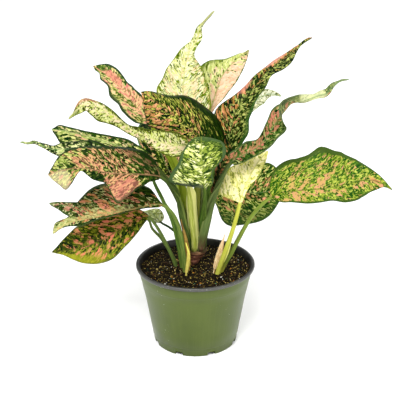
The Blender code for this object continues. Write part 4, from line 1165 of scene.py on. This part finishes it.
def leaf_finish(name, marks):
    finish = Finish(name, Roughness=0.55, Specular_IOR_Level=0.05)
    length, across, under = finish.attribute("spot")
    s, q, _ = finish.attribute("part")
    distance, hand, vein, ragged = vein_place(finish, marks, length, across)

    def cells(size, shift, rag):
        """Three random numbers for the small field of the leaf that this point is in."""
        where = finish.vector((vein + rag) / size[0], (distance - rag) / size[1], hand + shift)
        draws = finish.node("ShaderNodeTexVoronoi", {}, {"Vector": where, "Scale": 1.0}, output="Color")
        return finish.parts(draws)

    def cloud(size, shift, detail=2.0):
        return finish.noise(finish.vector(vein / size[0], distance / size[1], hand + shift), detail=detail)

    fleck_dabs = [(*dab[:4], dab[4]) for dab in marks.dabs if dab[4]]
    patch_dabs = [(*dab[:4], dab[5]) for dab in marks.dabs if dab[5]]
    chance, hue, depth = cells(marks.cell, 0.0, ragged)
    wide_chance, wide_hue, _ = cells(marks.blotch, 11.0, ragged * 1.4)
    crowd = cloud((7.0, 11.0), 3.0) * 0.9 - 0.45
    flecks = (cover(marks.flecks, s, q, fleck_dabs) + crowd - chance).above(*FIELD_EDGE)
    flecks = flecks * (1 - depth.above(0.55, 0.95) * 0.45)
    field = cover(marks.patches, s, q, patch_dabs) + (cloud((10.0, 12.0), 7.0) * 0.8 - 0.4)
    patches = (field - wide_chance + (depth - 0.5) * 0.3).above(-0.05, 0.05)
    specks = (marks.specks - hue).above(*FIELD_EDGE)

    tone = cloud((7.0, 12.0), 5.0, detail=3.0)
    ground = finish.mix((tone * 0.7 + depth * 0.5 - 0.1).above(0.34, 0.66), *marks.greens)
    colour = finish.mix(flecks, ground, finish.mix(hue, *marks.fleck))
    patch = finish.mix((hue * 0.55 + wide_hue * 0.45).above(0.2, 0.8), *marks.patch)
    colour = finish.mix(patches, colour, finish.mix(specks * 0.85, patch, marks.speck))

    rag = finish.noise(finish.vector(length / 5.0, across / 8.0, hand), detail=3.0) * 0.2 + depth * 0.05
    margin = (q.abs() + rag - 0.12).above(marks.margin - 0.02, marks.margin + 0.02)
    colour = finish.mix(margin, colour, marks.edge)
    # Each wash tints an oval of the blade; two of them are painted shade at a blade's base.
    for *place, share, tint in marks.washes:
        colour = finish.mix((1 - (oval(s, q, *place) + rag * 2.0).above(0.6, 1.1)) * share, colour, tint)
    colour = finish.mix((1 - distance.above(0.5, 1.3)) * 0.5, colour, marks.rib)
    blade = finish.mix(under * marks.under, colour, marks.pale)
    stalk = stalk_colour(finish, marks, s, length, across, under)
    finish.paint("Base Color", finish.mix(s.above(-0.02, 0.02), stalk, blade))
    finish.paint("Roughness", under * 0.12 + tone * 0.12 + 0.44)
    groove = (vein / VEIN_SPACING * math.pi).sin().abs() ** 0.5
    finish.bump(groove * 0.5 + depth * 0.06, 0.0004, 0.5)
    return finish.material


# %% [markdown]
# On one plant, young leaves are cream with green flecks and old ones dark green with coral patches,
# and one here has turned yellow. Random numbers would make the leaves alike, so each has a row of
# its own, set against the real plant. Only the flecks within a leaf are left to chance.

# %% The marks of each leaf
MARKS = {
    "leaf_upper_left": Marks(
        ((36, 62, 6), (80, 106, 30)), ((134, 142, 60), (222, 210, 138)), ((202, 110, 106), (234, 190, 138)),
        flecks=(0.52, 0, 0, -0.1), patches=(0.46, 0, -0.4, 0.2), specks=0.2, seed=1.3, margin=0.83,
        edge=(38, 62, 30), rib=(176, 120, 92), stalk=(118, 138, 30), wing=(142, 158, 46),
        dabs=((0.65, 0.2, 0.35, 0.5, 0, 0.45), (0.9, 0, 0.12, 2, -0.2, -0.5)),
        washes=((0.7, 0.25, 0.2, 0.34, 0.6, (180, 104, 90)), (0.6, -1.0, 0.5, 0.3, 0.85, (46, 64, 32)))),
    "leaf_big_centre": Marks(
        ((0, 20, 0), (30, 56, 4)), ((88, 110, 10), (208, 202, 96)), ((230, 164, 116), (150, 104, 52)),
        flecks=(0.35, 0, 0, 0), patches=(0.14, 0.1, 0, -0.12), specks=0.2, speck=(50, 46, 6),
        blotch=(3.4, 4.6), seed=2.1, margin=0.95, edge=(30, 42, 10), rib=(40, 52, 10), stalk=(70, 100, 36),
        wing=(110, 136, 50),
        dabs=((0.3, 1.0, 0.6, 0.34, -0.5, -0.5), (0.05, 0, 0.3, 2, -0.3, -0.2),
              (0.8, -0.5, 0.3, 0.8, 0, 0.24), (0.35, -0.8, 0.2, 0.5, 0, 0.2))),
    "leaf_cream_left": Marks(
        ((44, 52, 0), (92, 106, 24)), ((208, 208, 152), (168, 178, 74)), ((196, 176, 134), (212, 196, 160)),
        flecks=(0.58, 0, -0.4, 0), patches=(0.12, 0, -0.3, -0.1), specks=0.12, seed=3.7, margin=0.9,
        edge=(72, 84, 20), rib=(190, 190, 120), stalk=(150, 160, 62), wing=(212, 212, 128),
        dabs=((0.22, -0.3, 0.2, 0.6, 0, 0.3), (0.88, 0.3, 0.14, 0.7, -0.3, 0.5),
              (0.55, 0.8, 0.3, 0.7, -0.4, 0)),
        washes=((0.86, 0.9, 0.12, 0.5, 0.5, (188, 130, 104)), (0.96, 0, 0.07, 2.4, 0.6, (58, 74, 20)),
                (0.55, 1.0, 0.35, 0.3, 0.6, (64, 84, 22)))),
    "leaf_back_left": Marks(
        ((2, 34, 0), (42, 74, 4)), ((216, 216, 136), (116, 138, 50)), ((208, 200, 142), (200, 152, 116)),
        flecks=(0.36, 0.2, -0.5, 0), patches=(0.16, 0.2, -0.3, 0), cell=(4.0, 1.8), blotch=(9.0, 3.0),
        seed=4.4, margin=0.8, edge=(30, 48, 10), stalk=(60, 76, 32), wing=(92, 104, 48),
        dabs=((0.6, 0, 0.35, 0.5, 0.2, 0),), washes=((0.4, 1.0, 0.7, 0.35, 0.75, (32, 58, 10)),)),
    "leaf_long_tail": Marks(
        ((0, 12, 0), (42, 70, 6)), ((112, 132, 56), (222, 220, 156)), ((250, 250, 210), (160, 178, 96)),
        flecks=(0.4, 0.6, -0.2, -0.1), patches=(0.06, 0.1, 0, 0), cell=(2.6, 2.0), seed=5.2, margin=0.86,
        edge=(36, 52, 24), stalk=(70, 100, 38), wing=(120, 142, 60), foot=(104, 124, 46)),
    "leaf_front_left": Marks(
        ((0, 25, 0), (39, 64, 7)), ((94, 116, 32), (192, 194, 111)), ((169, 101, 83), (192, 153, 102)),
        flecks=(0.26, 0.45, 0, 0), patches=(0.36, 0, 0, 0), specks=0.32, speck=(46, 50, 10),
        blotch=(3.4, 5.0), seed=6.6, margin=0.9, edge=(34, 50, 20), rib=(150, 112, 80), stalk=(54, 74, 30),
        wing=(98, 112, 50), pale=(60, 84, 40),
        dabs=((0.1, 0.5, 0.34, 1.6, -0.02, -0.08), (0.55, 0.2, 0.3, 0.7, -0.1, 0.22),
              (0.42, -0.6, 0.2, 0.7, 0, 0.3), (0.6, -0.7, 0.12, 0.7, -0.3, -0.9),
              (0.95, 0, 0.2, 2, 0.25, -0.25)),
        washes=((0.16, 0.75, 0.2, 0.45, 0.5, (26, 50, 10)),
                (0.92, -0.5, 0.12, 0.8, 0.32, (226, 206, 168)),
                (0.38, -1.0, 0.16, 0.16, 0.6, (52, 76, 34)), (0.02, 0.5, 0.22, 1.2, 0.5, (18, 34, 6)),
                (0.36, -0.6, 0.16, 0.5, 0.3, (196, 110, 104)))),
    "leaf_middle_left": Marks(
        ((0, 24, 0), (44, 66, 4)), ((104, 124, 46), (208, 206, 140)), ((214, 130, 108), (176, 126, 66)),
        flecks=(0.34, 0.3, -0.4, 0), patches=(0.34, 0.1, -0.2, 0.1), specks=0.26, speck=(40, 46, 8),
        blotch=(4.0, 7.0), seed=7.9, edge=(60, 76, 40), rib=(168, 160, 96), stalk=(88, 110, 46),
        wing=(128, 142, 66), foot=(92, 112, 42),
        dabs=((0.1, 0.6, 0.3, 1, -0.2, -0.25), (0.92, 0.3, 0.2, 1.4, 0.4, -0.3),
              (0.5, -1.0, 0.6, 0.7, -0.3, -0.6)), washes=((0.7, 0.04, 0.5, 0.18, 0.32, (214, 190, 120)),)),
    "leaf_behind_left": Marks(
        ((14, 36, 0), (60, 86, 20)), ((130, 142, 70), (212, 210, 160)), ((212, 152, 128), (160, 112, 84)),
        flecks=(0.34, 0, 0, 0), patches=(0.24, 0, -0.9, 0), seed=8.3, margin=0.78, edge=(52, 74, 30),
        stalk=(100, 120, 58), wing=(122, 142, 70), foot=(40, 60, 22)),
    "leaf_lowest_left": Marks(
        ((0, 26, 0), (56, 70, 0)), ((72, 94, 10), (152, 150, 40)), ((210, 112, 88), (176, 134, 74)),
        flecks=(0.36, 0, 0.1, -0.15), patches=(0.24, 0, -0.3, 0.12), specks=0.16, speck=(84, 80, 14),
        blotch=(5.0, 5.5), seed=9.1, margin=0.95, edge=(80, 86, 40), rib=(72, 74, 16), stalk=(100, 120, 58),
        wing=(122, 142, 70), foot=(40, 60, 22),
        dabs=((0.72, -0.75, 0.34, 0.9, 0.4, -0.1), (0.95, 0, 0.2, 2, -0.2, -0.4)),
        washes=((0.78, -0.85, 0.3, 0.55, 0.4, (140, 138, 30)),)),
    "leaf_small_back": Marks(
        ((100, 114, 40), (160, 170, 92)), ((230, 240, 160), (196, 204, 170)),
        ((244, 248, 196), (200, 206, 170)),
        flecks=(0.5, 0, 0, 0), patches=(0.1, 0, 0, 0), cell=(3.0, 3.0), seed=10.5, edge=(80, 96, 40),
        stalk=(30, 60, 16), wing=(58, 96, 26)),
    "leaf_centre_front": Marks(
        ((26, 50, 10), (76, 98, 30)), ((112, 132, 38), (172, 184, 86)), ((246, 246, 186), (200, 208, 116)),
        flecks=(0.33, -0.2, -0.2, 0), patches=(0.16, -0.1, -0.2, 0.2), specks=0.1, cell=(1.5, 3.4),
        blotch=(2.2, 6.0), slant=0.25, seed=11.2, margin=0.86, edge=(66, 88, 48), rib=(112, 128, 40),
        stalk=(62, 84, 28), wing=(98, 120, 44), under=0,
        dabs=((0.95, 0, 0.25, 2, -0.5, -0.4), (0.6, 0.4, 0.4, 0.5, 0, 0.18)),
        # The first wash is painted shadow: dark blue-grey at the blade's base, under its curled basal edge.
        washes=((0.0, 0.5, 0.13, 0.75, 0.9, (40, 52, 40)), (0.9, 0, 0.16, 2.0, 0.6, (64, 88, 46)))),
    "leaf_top_cream": Marks(
        ((60, 84, 0), (108, 128, 24)), ((236, 234, 198), (206, 208, 118)),
        ((218, 190, 134), (226, 208, 170)),
        flecks=(0.7, 0.1, -0.55, -0.1), patches=(0.16, -0.6, -0.2, 0.15), specks=0.12, speck=(120, 126, 36),
        cell=(1.8, 3.0), seed=12.8, margin=0.95, edge=(112, 124, 34), rib=(180, 184, 96),
        stalk=(120, 136, 50), wing=(150, 156, 66), washes=((0.99, 0, 0.2, 3.5, 0.9, (124, 126, 100)),)),
    "leaf_top_peach": Marks(
        ((30, 60, 0), (100, 116, 20)), ((222, 222, 158), (164, 176, 84)),
        ((208, 164, 130), (224, 196, 164)),
        flecks=(0.66, 0.2, -0.4, -0.2), patches=(0.42, -0.3, -0.4, 0.9), specks=0.03, speck=(110, 116, 30),
        seed=13.3, margin=0.93, edge=(76, 92, 22), rib=(110, 120, 36), stalk=(140, 160, 96),
        wing=(204, 206, 166),
        washes=((0.6, -1.0, 0.5, 0.25, 0.6, (84, 108, 22)), (0.99, 0, 0.07, 2.0, 0.6, (96, 116, 30)))),
    "leaf_upper_right": Marks(
        ((0, 8, 0), (22, 46, 0)), ((76, 104, 28), (188, 192, 104)), ((214, 146, 100), (150, 104, 44)),
        flecks=(0.3, 0.25, 0, 0), patches=(0.22, 0, 0, -0.3), specks=0.25, speck=(48, 54, 12),
        blotch=(3.2, 6.0), seed=14.6, margin=0.95, edge=(34, 54, 24), rib=(40, 54, 14), stalk=(60, 84, 32),
        wing=(120, 100, 60), dabs=((0.1, -0.6, 0.3, 0.8, -0.2, 0.1), (0.5, 0.5, 0.35, 0.8, 0.08, -0.15)),
        # The last wash is painted shade: near black at the blade's base, which lies in shade.
        washes=((0.78, -0.8, 0.08, 0.5, 0.65, (204, 146, 130)),
                (0.58, -0.9, 0.07, 0.4, 0.5, (190, 124, 110)), (0.4, 1.0, 0.3, 0.3, 0.75, (46, 80, 28)),
                (0.04, 0.3, 0.16, 1.5, 0.6, (6, 20, 2)))),
    "leaf_small_right": Marks(
        ((64, 72, 8), (130, 134, 72)), ((172, 176, 143), (208, 210, 184)),
        ((239, 229, 167), (208, 210, 184)),
        flecks=(0.78, 0, 0, 0), seed=15.9, edge=(104, 124, 44)),
    "leaf_right": Marks(
        ((8, 32, 0), (54, 88, 24)), ((106, 122, 50), (176, 178, 112)), ((186, 106, 90), (152, 116, 74)),
        flecks=(0.32, 0.4, 0, 0), patches=(0.24, -0.2, -0.3, -0.35), specks=0.25, blotch=(4.0, 7.0),
        seed=16.4, margin=0.84, edge=(72, 90, 48), stalk=(80, 98, 50), wing=(106, 120, 66),
        foot=(92, 66, 50), under=0.12, pale=(166, 172, 126),
        dabs=((0.72, 0, 0.14, 2.0, 0.4, -0.3), (0.4, -0.3, 0.25, 0.5, 0, 0.2)),
        washes=((0.74, 0, 0.11, 3.0, 0.45, (236, 238, 190)), (0.96, 0, 0.08, 3.0, 0.6, (96, 112, 74)))),
    "leaf_yellow": Marks(
        ((104, 114, 8), (158, 160, 46)), ((214, 208, 96), (246, 240, 146)),
        ((252, 240, 164), (254, 244, 184)),
        flecks=(0.74, 0, -0.2, 0), patches=(0.5, 0, -0.4, 0), specks=0.15, seed=17.7, margin=0.95,
        edge=(178, 178, 60), rib=(176, 176, 44), stalk=(172, 174, 60), wing=(192, 194, 96),
        foot=(206, 202, 84), under=0.1),
    "leaf_large_right": Marks(
        ((15, 63, 4), (59, 102, 15)), ((112, 129, 24), (180, 188, 79)), ((198, 138, 103), (180, 152, 79)),
        flecks=(0.44, 0, -0.2, 0.05), patches=(0.1, 0, -0.15, 0), specks=0.15, cell=(1.5, 1.7),
        blotch=(4.2, 4.4), slant=0.6, seed=18.2, margin=0.87, edge=(58, 82, 24), rib=(52, 74, 8),
        stalk=(104, 124, 46), wing=(146, 158, 72), foot=(222, 210, 78),
        dabs=((0.2, 0.6, 0.25, 0.6, 0.1, 0.3), (0.36, -0.3, 0.24, 0.4, 0, 0.26),
              (0.8, 0.1, 0.14, 0.6, 0, 0.15), (0.45, 0.25, 0.5, 0.25, 0, 0.14)),
        washes=((0.45, -1.0, 0.45, 0.18, 0.8, (58, 80, 26)), (0.86, -0.1, 0.05, 0.14, 0.7, (176, 100, 80)))),
    "leaf_dark_oval": Marks(
        ((8, 44, 0), (50, 90, 18)), ((118, 138, 42), (218, 222, 124)), ((244, 168, 128), (176, 128, 70)),
        flecks=(0.38, 0, 0, 0), patches=(0.1, 0, -0.2, -0.1), specks=0.2, blotch=(4.0, 6.0), seed=19.5,
        edge=(60, 84, 26), dabs=((0.4, 0.2, 0.22, 0.4, 0, 0.3),),
        washes=((0.5, 0.95, 0.7, 0.5, 0.55, (40, 66, 18)),)),
    "leaf_back": Marks(
        ((0, 16, 0), (34, 62, 0)), ((127, 146, 43), (197, 203, 95)), ((156, 102, 68), (222, 176, 130)),
        flecks=(0.15, 0, 0, 0), patches=(0.24, 0, 0, 0), seed=20.1, stalk=(60, 90, 30), wing=(76, 100, 40)),
}


for name, leaf in LEAVES.items():
    blade = build_leaf(name + "_blade", leaf)
    blade.data.materials.append(leaf_finish(name, MARKS[name]))
    ready(blade, name, slot=name)

# %% [markdown]
# Sheaths are what is left of leaf bases, and the wrap of a leaf that isn't out yet: thin, narrow and
# rolled lengthways. A sheath could be a bent cone, but it is flat at its tip, so the leaf's own
# functions shape it as a small leaf. The dry ones are papery, with ribs along them.

# %% The sheaths


def sheath_finish(name, light, dark, tip):
    finish = Finish(name, Roughness=0.7, Specular_IOR_Level=0.1)
    length, across, _ = finish.attribute("spot")
    s, _, _ = finish.attribute("part")
    ribs = finish.noise(finish.vector(across * 2.4, length / 14.0), detail=3.0)
    patch = finish.noise(finish.vector(across / 3.0, length / 6.0, 4.0), detail=3.0)
    colour = finish.mix(ribs.above(0.4, 0.6), dark, light)
    colour = finish.mix(patch.above(0.52, 0.7) * 0.5, colour, dark)
    finish.paint("Base Color", finish.mix(s.above(0.55, 0.95) * 0.7, colour, tip))
    finish.bump(ribs, 0.0005, 0.7)
    return finish.material


SHEATH_COLOURS = {
    # name: ribs, the furrows and stains between them, tip
    "sheath_dry_left": (rgb(190, 164, 76), rgb(92, 52, 30), rgb(124, 82, 48)),
    "sheath_young_left": (rgb(240, 228, 124), rgb(180, 164, 56), rgb(226, 224, 92)),
    "sheath_papery_right": (rgb(255, 242, 192), rgb(190, 128, 66), rgb(250, 214, 168)),
    "sheath_pale_right": (rgb(255, 255, 168), rgb(250, 250, 110), rgb(250, 244, 150)),
}

for name, leaf in SHEATHS.items():
    sheath = build_leaf(name + "_skin", leaf)
    sheath.data.materials.append(sheath_finish(name, *SHEATH_COLOURS[name]))
    ready(sheath, name, slot=name)

# %% [markdown]
# The cane is the plant's short stem. Each fallen leaf left a ring scar on it, and it swells where
# the living leaves stand. A cylinder with a noise texture would do from afar. Here a ring is
# extruded up its route, with a waist between scars, and its points are pushed in and out by noise,
# so the bark is rough against the soil too.

# %% The cane's form
CANE_RINGS = [
    ((-7.0, 10.0, 84.6), 7.6), ((-7.0, 10.0, 96.0), 7.7), ((-6.9, 10.0, 99.5), 8.3),
    ((-6.7, 10.0, 101.5), 8.7), ((-6.5, 10.0, 103.2), 8.5), ((-5.9, 10.2, 104.8), 7.9),
    ((-5.2, 10.4, 106.4), 7.9), ((-4.3, 10.6, 108.6), 8.8), ((-3.5, 10.8, 110.6), 9.3),
    ((-2.6, 11.0, 112.2), 8.9), ((-1.4, 11.2, 114.2), 8.7), ((-0.4, 11.5, 116.4), 9.8),
    ((0.5, 11.7, 118.8), 11.2), ((1.2, 11.9, 121.4), 12.4), ((1.8, 12.0, 124.4), 13.6),
    ((2.0, 12.0, 127.2), 14.1), ((2.0, 12.0, 127.9), 13.9)]
AXIS_HEIGHTS, AXIS_X, AXIS_Y = (84, 104, 120, 128), (-7, -6.2, 0.8, 2), (10, 10.1, 11.8, 12)
BARK_TOP = 127
CANE_SIDES = 40


def build_cane():
    deselect()
    (x, y, z), radius = CANE_RINGS[0]
    bpy.ops.mesh.primitive_circle_add(vertices=CANE_SIDES, radius=radius * MM, fill_type="NGON",
                                      location=(x * MM, y * MM, z * MM))
    cane = named("cane_stem")
    bpy.ops.object.mode_set(mode="EDIT")
    bpy.ops.mesh.select_all(action="SELECT")
    for (next_x, next_y, next_z), next_radius in CANE_RINGS[1:]:
        step = ((next_x - x) * MM, (next_y - y) * MM, (next_z - z) * MM)
        bpy.ops.mesh.extrude_region_move(TRANSFORM_OT_translate={"value": step})
        share = next_radius / radius
        bpy.ops.transform.resize(value=(share, share, 1.0),
                                 center_override=(next_x * MM, next_y * MM, next_z * MM))
        (x, y, z), radius = (next_x, next_y, next_z), next_radius
    bpy.ops.mesh.select_all(action="SELECT")
    bpy.ops.mesh.normals_make_consistent(inside=False)
    bpy.ops.mesh.subdivide(number_cuts=1)
    bpy.ops.object.mode_set(mode="OBJECT")
    settle(cane)
    for vertex in cane.data.vertices:
        height = vertex.co.z / MM
        if vertex.co.z < BARK_TOP * MM:
            rough = noise.noise(vertex.co * 260) + noise.noise(vertex.co * 700) * 0.5
            axis = Vector((np.interp(height, AXIS_HEIGHTS, AXIS_X) * MM,
                           np.interp(height, AXIS_HEIGHTS, AXIS_Y) * MM, vertex.co.z))
            vertex.co += (vertex.co - axis).normalized() * rough * MM
    return cane


def cane_finish():
    finish = Finish("cane bark", Roughness=0.8, Specular_IOR_Level=0.3)
    x, y, z = finish.place()
    rings = finish.noise(finish.vector(x * 60, y * 60, z * 420), detail=3.0, distortion=0.4)
    flakes = finish.noise(finish.spot(), scale=330.0, detail=4.0, roughness=0.65)
    bark = finish.mix(rings.above(0.4, 0.62), rgb(74, 38, 30), rgb(150, 98, 74))
    bark = finish.mix(flakes.above(0.55, 0.7) * 0.6, bark, rgb(186, 138, 102))
    green = finish.mix((z / MM).above(121.0, 128.0) * 0.4, bark, rgb(84, 88, 40))
    finish.paint("Base Color", green)
    finish.bump(rings + flakes * 0.5, 0.0008, 0.8)
    return finish.material


cane = build_cane()
cane.data.materials.append(cane_finish())
ready(cane, "cane", slot="cane")
